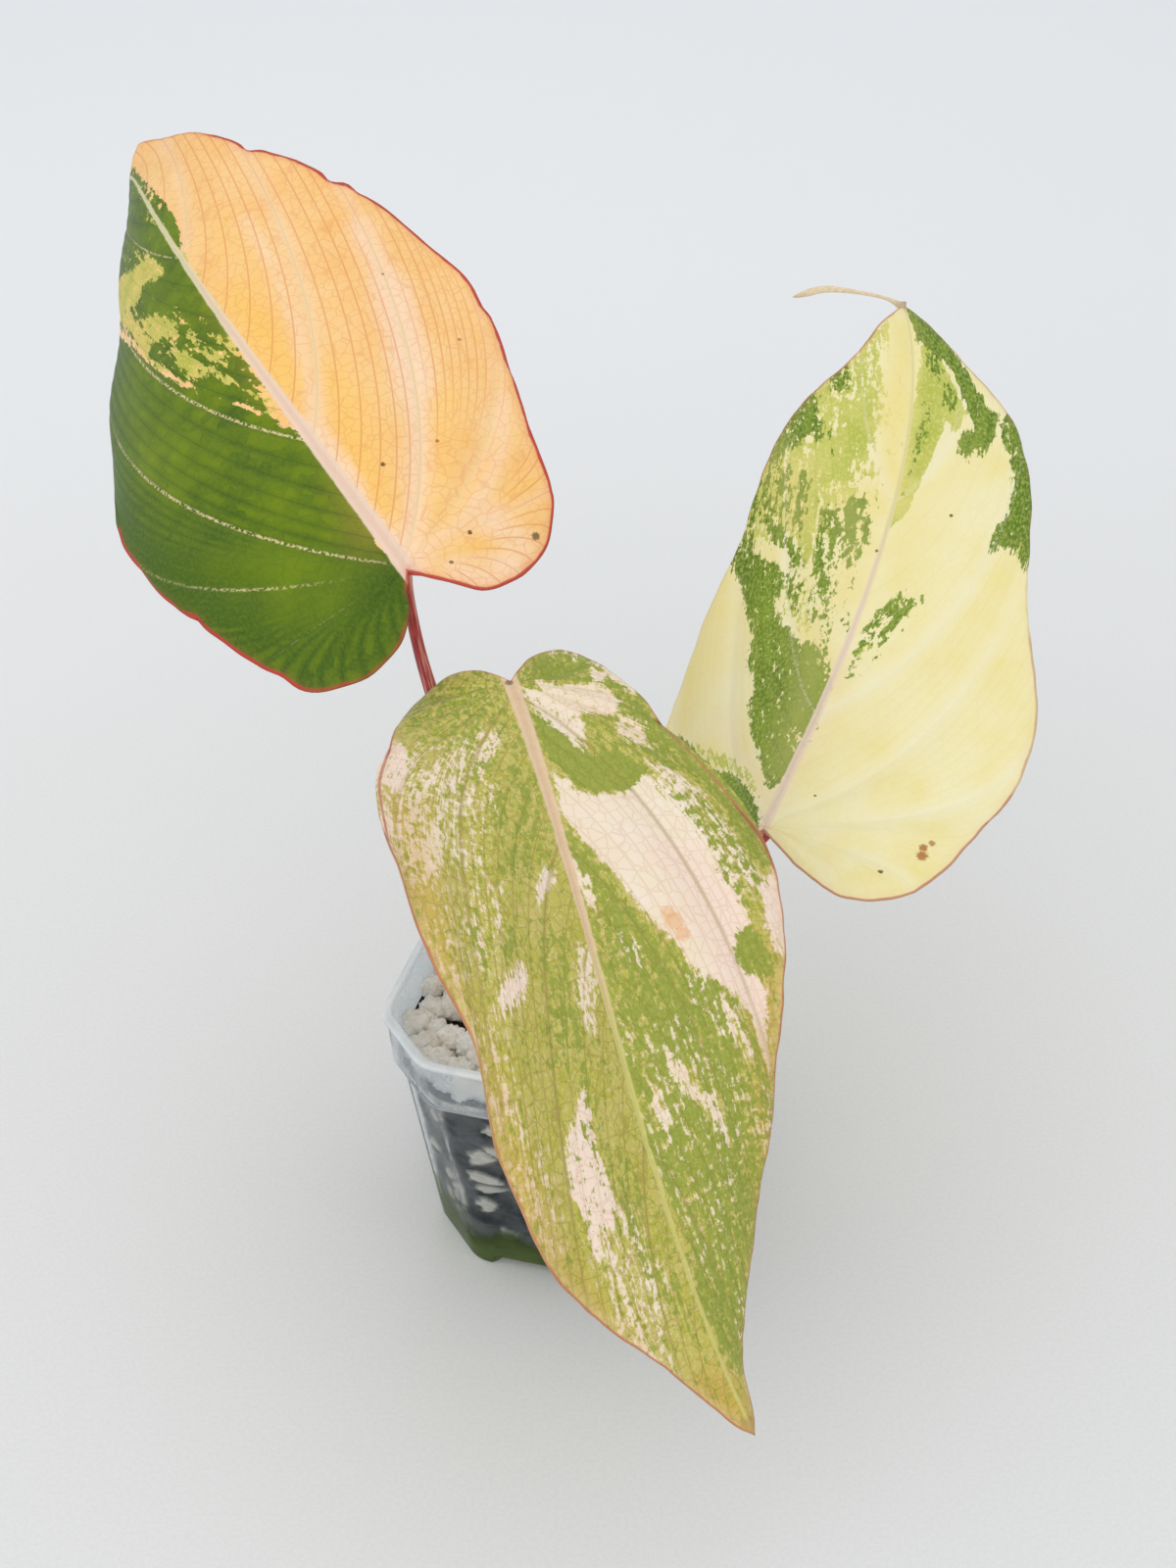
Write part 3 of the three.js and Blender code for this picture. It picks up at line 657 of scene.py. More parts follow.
def leaf_material(name, look):
    """Paint cover above the ragged pattern turns a place deep green or lime. The rest is pale, with blush on it."""
    net = Net(name)
    flat_x, flat_y, _ = net.split(net.attribute("flat"))
    number, along, side = net.split(net.attribute("fan"))
    rib, edge, pitch = net.split(net.attribute("veins"))
    deep_cover, lime_cover, blush_cover = net.split(net.attribute("paint"))
    warm_cover, rim_cover, _ = net.split(net.attribute("extra"))
    under = net.value("under")
    flat = net.join(flat_x, flat_y, under * 40.0)

    # Streaks run with the side veins. Grains, specks and dust break them up.
    streak = net.noise(net.join(number * 0.89, along * 0.045, side * 9.0), 1, 3.0, 0.6).step(0.28, 0.72)
    streak2 = net.noise(net.join(number * 2.7, along * 0.12, side * 5.0 + 3.0), 1, 3.0, 0.6).step(0.28, 0.72)
    grain = net.cell_value(net.join(number * 3.3, along * 0.33, side * 7.0))
    speck = net.cell_value(flat, (1.0, 0.7, 1.0))
    dust = net.noise(flat, (0.62, 0.42, 1.0), 5.0, 0.7).step(0.3, 0.7)
    crumb = speck * 0.25 + dust * 0.75

    def ragged(streaks, soft):
        """Streaks and crumbs as one pattern, kept clear of 0 and 1 so that full and empty cover hold."""
        mixed = (streaks * (1.0 - look["crumbly"]) + crumb * look["crumbly"] - 0.5) * 1.75 + 0.5
        return net.larger(net.smaller(mixed, 0.99 - soft), 0.01 + soft)

    soft, lime_soft = look["soft"], look["soft"] * 1.3
    deep = (deep_cover - ragged(streak * 0.36 + streak2 * 0.34 + grain * 0.30, soft)).step(-soft, soft)
    lime_pattern = ragged(streak2 * 0.50 + grain * 0.22 + (1.0 - streak) * 0.28, lime_soft)
    lime = (lime_cover - lime_pattern).step(-lime_soft, lime_soft)
    blush = (blush_cover * 1.1 - lime_pattern * 0.25).step(-0.1, 0.95) * look["blush_most"]

    glow = net.noise(flat, 0.035, 2.0).step(0.35, 0.65)
    patch = net.noise(flat, 0.11, 3.0).step(0.3, 0.7)

    # Veins: a number of fine parallel ones, the net between them, the main side veins and the midrib.
    near = net.math("PINGPONG", number, 0.5) * pitch  # distance to the nearest fine vein
    fine = near.step(0.30, 0.10) * pitch.step(1.2, 2.6) * look["fine"]
    net_size = (0.27, 0.31, 1.0)
    net_line = net.cell_edge(flat, net_size, 0.85).step(0.055, 0.015)
    net_fine = net.cell_edge(flat, (0.8, 0.9, 1.0), 0.9).step(0.06, 0.0)
    vein = net.larger(fine, net_line * look["cross"])
    mottle = net.noise(flat, (1.25, 0.8, 1.0), 4.0, 0.65)
    apart = pitch.step(0.3, 1.4)
    near_edge = (edge + patch * 9.0).step(26.0, 6.0)
    main = (rib + deep * 0.25).step(0.95, 0.25) * apart * (1.0 - near_edge * look["main_fade"])
    up_leaf = (flat_y * (1.0 / look["length"])).clamp()
    centre = flat_x.abs()
    rib_half = (1.0 - up_leaf) ** 1.5 * look["rib_wide"] + 0.4
    rib_wander = net.noise(net.join(flat_x * 0.5, flat_y * 0.25), 1, 3.0, 0.6)
    midrib = (centre - rib_half - (rib_wander - 0.5) * 0.8).step(0.25, -0.35)
    cell = net.cell_value(flat, net_size)

    pale = net.blend(glow, look["pale"][0], look["pale"][1])
    pale = net.blend(patch * 0.35, pale, look["pale"][2])
    pale = net.blend(warm_cover * 0.8, pale, look["warm"])
    pale = net.blend(blush, pale, look["blush"])
    pale = net.blend(net.larger(vein * look["net"], net_fine * look["net"] * 0.25), pale, look["net_colour"])
    light = net.blend(patch, look["lime"][0], look["lime"][1])
    light = net.blend(mottle.step(0.5, 0.62) * look["mottle"][1], light, look["mottle_colour"][1])
    light = net.blend(warm_cover * 0.75, light, look["warm"])
    light = net.blend(vein * look["net_lime"], light, look["lime"][2])
    inner = edge.step(3.0, 22.0) * (glow * 0.55 + patch * 0.45)
    dark = net.blend(warm_cover * 0.35, net.blend(inner, look["deep"][0], look["deep"][1]), look["warm"])
    dark = net.blend(near.step(0.3, 1.6) * 0.35 * cell, dark, look["deep"][2])
    dark = net.blend(mottle.step(0.44, 0.6) * look["mottle"][0], dark, look["mottle_colour"][0])
    dark = net.blend(net.larger(vein, net_fine * 0.3) * 0.3, dark, look["deep"][3])
    colour = net.blend(lime, pale, light)
    colour = net.blend(deep, colour, dark)
    dots = net.noise(flat, 1.2, 1.0).step(0.42, 0.55)
    soft_main = rib.step(4.5, 0.3) * pitch.step(0.5, 2.0) * (1.0 - deep) * (1.0 - lime)
    colour = net.blend(soft_main * look["halo"], colour, look["halo_colour"])
    shown = net.larger(dots * deep * look["main"], (1.0 - deep) * look["main_pale"])
    colour = net.blend(main * shown, colour, look["main_colour"])
    rib_colour = net.blend(up_leaf.step(*look["rib_turn"]), look["midrib_colour"], look["midrib_far"])
    rib_colour = net.blend((centre - rib_half * 0.35).step(0.3, -0.2) * 0.3, rib_colour, look["rib_line"])
    colour = net.blend(midrib * look["midrib"], colour, rib_colour)
    rim_noise = net.noise(flat, 0.16, 3.0)
    rim_size = look["rim_size"]
    rim_line = (edge + rim_noise * 0.9 * rim_size).step(1.45 * rim_size, 0.85 * rim_size)
    rim_line = rim_line * (rim_cover * 1.5 - rim_noise * 0.7 + 0.25).clamp()
    rim_glow = (edge + rim_noise * 2.0).step(4.5, 1.0) * rim_cover * (0.35 - deep * 0.28)
    colour = net.blend(rim_glow, colour, look["margin_glow"])
    colour = net.blend(rim_line * look["margin"], colour, look["margin_colour"])
    blot = net.noise(flat, 1.5, 2.0)
    for x, y, size, strength, stain in look["spots"]:
        gap = net.add("ShaderNodeVectorMath", operation="DISTANCE")
        net.plug(gap.inputs[0], net.join(flat_x, flat_y))
        gap.inputs[1].default_value = (x, y, 0)
        away = Wire(net, gap.outputs["Value"])
        spot = (away + blot * size).step(size * 1.5, size)
        colour = net.blend(spot * strength, colour, stain)
    back = net.blend(0.45, colour, look["back"])
    back = net.blend(main * 0.5, back, look["back_vein"])
    back = net.blend(midrib * 0.8, back, look["back_vein"])
    colour = net.blend(under.step(0.5, 0.75), colour, back)

    groove = rib.step(0.95, 0.25) * apart
    height = (1.0 - vein) * 0.6 + (1.0 - groove) * 0.5 + net.noise(flat, 2.2, 2.0) * 0.25
    rough = 0.44 + deep * -0.06 + net.noise(flat, 0.8, 1.0) * 0.12
    return net.finish(Base_Color=colour, Roughness=rough, Specular_IOR_Level=0.2,
                      Normal=net.bump(height, 0.35, 0.00025))


# The three looks. pale, lime and deep are shades of one ground each. A spot is (x, y, radius, strength, stain).
DARK, RUST, AMBER, TAN = (92, 62, 30), (166, 98, 32), (226, 160, 84), (176, 136, 84)
LOOK_A = dict(
    length=205, crumbly=0.35, soft=0.03, fine=1.0, cross=0.5, net_lime=0.3,
    mottle=(0.25, 0.6), main_fade=0.75, rim_size=1.0,
    mottle_colour=((116, 134, 8), (228, 206, 116)),
    pale=((247, 203, 134), (245, 192, 116), (248, 212, 156)),
    warm=(249, 198, 92), blush=(249, 218, 188), blush_most=0.75, net=0.58, net_colour=(220, 136, 84),
    lime=((216, 198, 106), (180, 182, 74), (150, 154, 54)),
    deep=((64, 94, 12), (106, 130, 0), (134, 152, 0), (50, 76, 12)),
    main=0.85, main_pale=0.55, main_colour=(236, 214, 164), halo=0.24, halo_colour=(247, 216, 192),
    midrib=0.95, midrib_colour=(234, 206, 184), midrib_far=(216, 214, 164), rib_wide=1.9,
    rib_turn=(0.25, 0.75), rib_line=(214, 172, 156),
    margin=0.95, margin_colour=(182, 62, 52), margin_glow=(232, 140, 96),
    spots=[(34, -9.5, 1.5, 0.8, DARK), (11, 27, 0.8, 0.9, DARK), (27, 26.5, 0.7, 0.8, RUST), (49, 52, 0.7, 0.7, RUST),
           (42, 81.5, 0.6, 0.7, RUST), (19.5, 0, 0.8, 0.9, DARK), (10.5, -4.5, 0.7, 0.8, DARK)],
    back=(206, 196, 150), back_vein=(214, 170, 140),
)
LOOK_B = dict(
    length=172, crumbly=0.42, soft=0.05, fine=0.5, cross=0.35, net_lime=0.3,
    mottle=(0.75, 0.55), main_fade=0.5, rim_size=0.6,
    mottle_colour=((158, 174, 82), (224, 216, 140)),
    pale=((238, 229, 178), (236, 223, 154), (240, 233, 196)),
    warm=(236, 219, 142), blush=(238, 214, 186), blush_most=0.7, net=0.16, net_colour=(204, 186, 118),
    lime=((202, 202, 106), (180, 188, 78), (150, 158, 56)),
    deep=((90, 118, 24), (122, 146, 40), (156, 172, 62), (74, 100, 22)),
    main=0.3, main_pale=0.25, main_colour=(240, 234, 206), halo=0.35, halo_colour=(240, 234, 206),
    midrib=0.9, midrib_colour=(230, 210, 188), midrib_far=(224, 216, 150), rib_wide=1.25,
    rib_turn=(0.35, 0.7), rib_line=(210, 176, 158),
    margin=0.8, margin_colour=(184, 116, 92), margin_glow=(230, 194, 156),
    spots=[(42.3, 1.5, 1.9, 0.85, RUST), (41.8, 4.0, 1.5, 0.85, RUST), (43.4, 6.2, 1.2, 0.75, RUST),
           (34, -7.5, 0.9, 0.9, DARK), (16, 104, 0.6, 0.9, DARK), (-1, 89.5, 0.6, 0.8, DARK),
           (9.5, 12.5, 0.5, 0.8, DARK)],
    back=(222, 214, 170), back_vein=(228, 200, 176),
)
LOOK_C = dict(
    length=197, crumbly=0.5, soft=0.13, fine=0.8, cross=0.7, net_lime=0.5,
    mottle=(0.5, 0.5), main_fade=0.5, rim_size=0.5,
    mottle_colour=((168, 174, 92), (218, 204, 150)),
    pale=((240, 227, 207), (240, 220, 198), (232, 217, 170)),
    warm=(202, 156, 70), blush=(242, 219, 202), blush_most=0.85, net=0.34, net_colour=(208, 148, 118),
    lime=((196, 184, 98), (182, 176, 70), (140, 116, 48)),
    deep=((140, 152, 54), (154, 161, 62), (168, 172, 76), (106, 108, 38)),
    main=0.25, main_pale=0.4, main_colour=(160, 136, 76), halo=0.0, halo_colour=(236, 230, 196),
    midrib=0.85, midrib_colour=(228, 198, 168), midrib_far=(206, 204, 116), rib_wide=1.6,
    rib_turn=(0.3, 0.56), rib_line=(210, 162, 134),
    margin=0.8, margin_colour=(186, 112, 88), margin_glow=(230, 204, 160),
    spots=[(-21.5, 72, 3.0, 0.5, AMBER), (-22.6, 75.5, 2.4, 0.5, AMBER), (-20.4, 69.5, 2.2, 0.4, AMBER),
           (0.5, -0.5, 1.3, 0.7, DARK), (0, 195, 4.5, 0.6, TAN)],
    back=(204, 198, 152), back_vein=(218, 190, 154),
)


# ---------------------------------------------------------------- strokes of paint

# Cover by channel: the ground, then strokes in the order in which they are laid. Places are flat millimetres,
# x across from the midrib and y along it from the stalk.
PAINT_A = dict(
    deep=(0, [
        (1, 0.8, [(-1, -1), (-2.5, 8), (-0.5, 16), (-0.5, 26), (-0.5, 39), (-2, 48), (-5, 56), (-10, 64),
            (-14, 74), (-20, 86), (-24, 101), (-27, 116), (-42, 166), (-53, 146), (-70, 97), (-68, 70), (-63, 48),
            (-62, 36), (-56, 21), (-53, 7), (-49, -10), (-45, -22), (-36, -28), (-21, -28), (-11, -24), (-5, -17)]),
        (0.74, 1.5, [(-5, 56), (-9, 64), (-14, 75), (-18, 88), (-23, 102), (-26, 118), (-39, 167), (-31, 179),
            (-19, 182), (-9, 224), (2, 190), (2, 152), (2, 136), (0, 126), (0, 114), (0, 100), (0, 88), (-1, 74),
            (-2, 64)]),
        (0.97, 1.5, [(-8, 193), (-2, 164), (-2, 144), (-1, 130), (0, 116), (0, 102), (-1, 88), (-3, 94), (-4, 108),
            (-9, 110), (-14, 113), (-16, 123), (-14, 127), (-8, 121), (-4, 125), (-6, 134), (-8, 145), (-12, 150),
            (-14, 181)]),
        (0.9, 1.5, [(-20, 105), (-20, 90), (-14, 75), (-6, 60), (-4, 70), (-10, 74), (-16, 82), (-17, 94)]),
        (0.08, 1.2, [(-33, 176), (-39, 167), (-28, 132), (-25, 116), (-24, 106), (-20, 107), (-21, 118),
            (-22, 130), (-16, 128), (-12, 130), (-8, 122), (-5, 125), (-8, 136), (-14, 140), (-18, 146)]),
        (0.1, 1.2, [(-20, 120), (-14, 113), (-11, 100), (-13, 98), (-20, 108)]),
        (0.25, 1.5, [(-15, 100), (-12, 89), (-11, 79), (-16, 84), (-17, 92)]),
        (0.3, 1.5, [(-9, 100), (-8, 92), (-6, 82), (-4, 76), (-6, 78), (-8, 84), (-10, 94)]),
        (0.15, 1, [(-9, 77), (-6, 72), (-8, 71), (-10, 75)]),
        (0.7, 0.8, [(2, 176), (4, 160), (4, 144), (4, 130), (2, 124), (0, 128), (0, 138), (0, 151), (0, 185)]),
    ]),
    lime=(0, [
        (0.85, 3, [(-5, 56), (-14, 74), (-24, 102), (-26, 118), (-39, 167), (-31, 179), (-19, 182), (2, 190),
            (2, 136), (0, 114), (0, 88), (-2, 64)]),
    ]),
    blush=(0, [
        (0.9, 6, [(1, 0), (14, 16), (22, 28), (32, 47), (40, 68), (42, 82), (44, 99)], 3),
        (1, 7, [(32, 46), (37, 61), (41, 75)], 4),
        (0.8, 5, [(2, 42), (9, 60), (14, 76), (19, 100), (20, 120)], 1.5),
        (0.8, 5, [(2, 0), (18, 3), (30, 8), (41, 17), (50, 30)], 1.5),
        (0.7, 5, [(26, 0), (29, -10), (17, -14), (10, -8)], 5),
        (1, 3, [(1, 0), (1, 9), (0, 18), (2, 29), (2, 40), (0, 48)], 2.5),
    ]),
    warm=(0, [
        (1, 9, [(7, 96), (6, 78), (4, 63)], 5),
        (0.9, 10, [(12, 59), (12, 49), (8, 33), (0, 14)], 5),
        (0.6, 8, [(35, 36), (24, 24), (14, 12)], 4),
        (0.7, 8, [(38, 4), (24, -6), (12, -2)], 3),
        (0.35, 10, [(13, 122), (14, 100)], 6),
    ]),
    rim=(0, [
        (1, 5, [(26, 162), (32, 144), (39, 130), (45, 117), (53, 104), (58, 84), (62, 63), (58, 46), (52, 22),
            (47, 4), (42, -6), (35, -13), (25, -16), (14, -15), (6, -9), (2, -2)], 5),
        (0.9, 4, [(-57, 66), (-54, 50), (-54, 39), (-48, 26), (-46, 14), (-42, 0), (-38, -12)], 4),
        (0.5, 4, [(-38, -12), (-31, -16), (-18, -16), (-10, -12)], 3),
        (0.3, 4, [(10, 190), (16, 178), (26, 162)], 3),
    ]),
)
PAINT_B = dict(
    deep=(0, [
        (0.82, 1.8, [(-42, 88), (-44, 81), (-37, 70), (-31, 60), (-29, 52), (-23, 44), (-24, 40), (-18, 30),
            (-10, 20), (-4, 12), (0, 15), (0, 24), (1, 33), (1, 44), (0, 50), (-6, 58), (-14, 60), (-21, 64),
            (-26, 70), (-26, 77), (-28, 82), (-36, 85)]),
        (0.75, 2, [(-49, 100), (-52, 86), (-42, 82), (-38, 88)]),
        (0.8, 1.5, [(-34, 96), (-28, 92), (-22, 85), (-20, 82), (-22, 80), (-28, 87), (-33, 89), (-36, 93)]),
        (0.5, 3, [(-46, 121), (-34, 116), (-24, 111), (-22, 101), (-22, 90), (-32, 95), (-39, 92), (-42, 89),
            (-48, 100)]),
        (0.78, 3, [(-31, 150), (-24, 129), (-22, 124), (-28, 122), (-34, 116), (-38, 116), (-46, 123), (-44, 132),
            (-39, 141), (-35, 146)]),
        (0.75, 2, [(-27, 158), (-18, 147), (-18, 140), (-22, 137)]),
        (0.35, 2, [(-24, 122), (-18, 120), (-20, 117)]),
        (0.66, 2.2, [(-19, 100), (-14, 104), (-8, 106), (-5, 106), (-4, 97), (-4, 92), (-4, 81), (-9, 83),
            (-14, 89)]),
        (0.62, 2.2, [(-19, 96), (-12, 86), (-8, 76), (-6, 64), (-2, 50), (-8, 58), (-12, 70), (-18, 82)]),
        (0.55, 2, [(-7, 90), (-4, 78), (-1, 63), (-4, 64), (-6, 78), (-8, 90)]),
        (0.45, 2, [(-27, 82), (-16, 75), (-8, 62), (-14, 64), (-22, 70)]),
        (0.93, 1.1, [(0, 172), (4, 190), (10, 181), (10, 160), (14, 154), (18, 145), (24, 136), (24, 130),
            (22, 124), (14, 122), (14, 129), (18, 131), (16, 136), (12, 148), (8, 153), (2, 158)]),
        (0.5, 2, [(2, 158), (8, 153), (14, 140), (13, 134), (8, 136), (8, 144), (2, 148)]),
        (0.45, 2, [(3, 138), (8, 135), (6, 126), (4, 116), (2, 104), (1, 102), (1, 114), (2, 130)]),
        (0.9, 1.2, [(28, 149), (33, 144), (39, 135), (42, 122), (44, 111), (46, 97), (38, 94), (36, 98), (31, 98),
            (28, 96), (28, 102), (31, 108), (31, 114), (31, 118), (29, 124), (26, 129)]),
        (0.6, 2, [(25, 136), (28, 132), (30, 126), (32, 120), (30, 120), (28, 127), (25, 133)]),
        (0.72, 1.8, [(8, 78), (15, 78), (14, 72), (12, 68), (10, 62), (6, 60), (6, 52), (4, 49), (2, 50), (3, 56),
            (2, 66), (4, 72)]),
        (0.3, 2, [(3, 59), (9, 63), (10, 56), (6, 50)]),
        (0.95, 1.3, [(-57, 27), (-46, 31), (-39, 28), (-34, 24), (-25, 19), (-18, 18), (-10, 12), (-4, 5), (1, -5),
            (-8, -6), (-21, 4), (-37, 14), (-48, 21)]),
    ]),
    lime=(0, [
        (0.62, 4, [(-4, 168), (-13, 176), (-21, 161), (-32, 149), (-41, 140), (-45, 126), (-46, 120), (-49, 100),
            (-42, 86), (-30, 90), (-18, 80), (-10, 70), (-13, 88), (-3, 102), (-2, 113), (-2, 124), (-4, 133),
            (-6, 152)]),
        (0.8, 4, [(-24, 122), (-9, 146), (-8, 137), (-10, 123), (-16, 116), (-19, 101)]),
        (0.3, 3, [(-8, 102), (-2, 102), (-2, 114), (-9, 123), (-14, 114), (-11, 104)]),
        (0.85, 3, [(-47, 120), (-34, 116), (-24, 111), (-22, 101), (-22, 90), (-32, 95), (-49, 100)]),
        (0.14, 3, [(-2, 168), (2, 160), (0, 145), (0, 131), (-1, 118), (0, 102), (-4, 98), (-6, 108), (-7, 117),
            (-8, 130), (-9, 144), (-8, 154)]),
        (0.5, 3, [(-29, 79), (-20, 78), (-14, 70), (-8, 58), (-18, 63), (-26, 70)]),
        (1, 1, [(0, 96), (0, 106), (0, 118), (0, 132), (2, 152), (2, 158), (8, 155), (10, 148), (16, 136),
            (14, 130), (10, 132), (8, 126), (6, 114), (4, 102)]),
        (0.7, 2, [(28, 149), (39, 135), (46, 101), (36, 95), (30, 110), (30, 121)]),
        (0.7, 2, [(-40, 28), (-22, 23), (-12, 17), (-5, 8), (-18, 18), (-30, 22)]),
        (0.35, 2, [(2, 49), (4, 72), (8, 78), (15, 78), (10, 60)]),
    ]),
    blush=(0, [
        (0.5, 6, [(-2, 8), (1, 40), (2, 53)], 5),
        (0.7, 4, [(10, -18), (26, -31), (44, -31), (57, -10), (66, 22)], 1),
        (0.5, 5, [(-32, 37), (-6, 13)], 3),
    ]),
    warm=(0, [
        (0.8, 10, [(-49, 66), (-48, 50), (-48, 36)], 6),
        (0.5, 12, [(32, 90), (26, 74), (20, 60)], 5),
        (0.5, 10, [(17, 121), (10, 108), (6, 92)], 4),
        (1, 5, [(-2, 162), (-4, 144), (-4, 124), (-2, 105)], 4),
        (0.35, 12, [(46, 58), (32, 44), (20, 34)], 5),
        (0.9, 7, [(-3, 20), (-5, 34), (-7, 50), (-12, 62)], 5),
        (0.8, 7, [(-40, 120), (-32, 110), (-28, 98)], 6),
        (0.8, 5, [(-14, 104), (-8, 92), (-6, 76)], 4),
    ]),
    rim=(0.15, [
        (0.9, 5, [(56, 27), (53, 14), (50, 0), (44, -10), (37, -16), (28, -20), (17, -16), (8, -10), (2, -2)], 4),
        (0.7, 4, [(-3, 172), (-8, 163), (-16, 154), (-24, 142), (-33, 132), (-38, 122), (-40, 112)], 3),
        (0.5, 4, [(4, 172), (12, 162), (20, 148), (28, 138)], 3),
        (0.5, 5, [(48, 72), (54, 55), (58, 36)], 4),
    ]),
)
# Rings that both greens of the front leaf share, and small ones that are laid last in both:
# cover in deep, cover in lime, edge, places.
BAND = [(-3, 28), (-8, 36), (-18, 37), (-25, 32), (-32, 36), (-34, 46), (-38, 58), (-40, 66), (-40, 76), (-36, 78),
    (-34, 82), (-37, 88), (-40, 92), (-38, 104), (-36, 115), (-35, 108), (-34, 96), (-30, 90), (-24, 86),
    (-20, 77), (-15, 68), (-10, 56), (-5, 48), (-2, 40)]
STRIP = [(-27, 35), (-33, 32), (-38, 38), (-42, 46), (-44, 54), (-46, 65), (-43, 70), (-40, 66), (-38, 60),
    (-36, 54), (-34, 48), (-30, 42)]
EDGE_PATCH = [(-56, 59), (-58, 68), (-56, 84), (-52, 94), (-44, 83), (-44, 74), (-46, 66)]
LOBE_1 = [(-2, 2), (-8, 4), (-15, 12), (-12, 13), (-6, 8)]
LOBE_2 = [(-14, 2), (-22, 2), (-26, 8), (-23, 12), (-17, 8)]
LOBE_3 = [(-22, -4), (-26, -2), (-22, 2), (-20, 0)]
LOBE_4 = [(-7, 14), (-10, 18), (-13, 24), (-10, 22), (-8, 18)]
SMALL_RINGS = [
    (0.09, 0.2, 1.5, [(-6, 0), (-14, 2), (-25, 4), (-24, 12), (-16, 12), (-8, 8)]),
    (0.11, 0.25, 1.5, [(-2, 4), (-6, 8), (-14, 14), (-14, 23), (-10, 18), (-5, 14)]),
    (0.09, 0.2, 2, [(-27, -21), (-38, -12), (-41, 0), (-30, 6), (-25, -1)]),
    (0.16, 0.35, 2, [(-24, 12), (-30, 16), (-30, 24), (-25, 23), (-22, 19)]),
    (0.16, 0.35, 2, [(-27, 28), (-34, 32), (-38, 38), (-32, 38), (-28, 34)]),
    (0.11, 0.25, 1.5, [(-12, 101), (-16, 111), (-18, 117), (-12, 114), (-10, 106)]),
    (0.14, 0.3, 1.5, [(-6, 108), (-8, 118), (-6, 121), (-4, 113)]),
    (0.16, 0.35, 1.5, [(2, 74), (0, 81), (7, 94), (10, 91), (6, 80)]),
    (0.14, 0.3, 1.5, [(-28, 94), (-32, 102), (-32, 112), (-30, 108), (-28, 100)]),
    (0.16, 0.35, 1.5, [(-18, 112), (-21, 118), (-20, 126), (-18, 124), (-18, 117)]),
    (0.14, 0.3, 1.5, [(38, 49), (28, 38), (36, 53), (42, 60)]),
    (0.2, 0.45, 1.5, [(11, 13), (6, 14), (10, 22), (14, 22)]),
    (0.16, 0.35, 1.5, [(25, 64), (20, 58), (26, 70), (30, 74)]),
    (0.27, 0.6, 2, [(40, 86), (36, 88), (35, 94), (40, 93)]),
    (0.28, 0.62, 1.5, [(38, 100), (33, 105), (32, 115), (36, 115), (38, 106)]),
    (0.14, 0.3, 1.2, [(-1, 52), (-4, 58), (-4, 68), (-2, 65), (-1, 58)]),
]
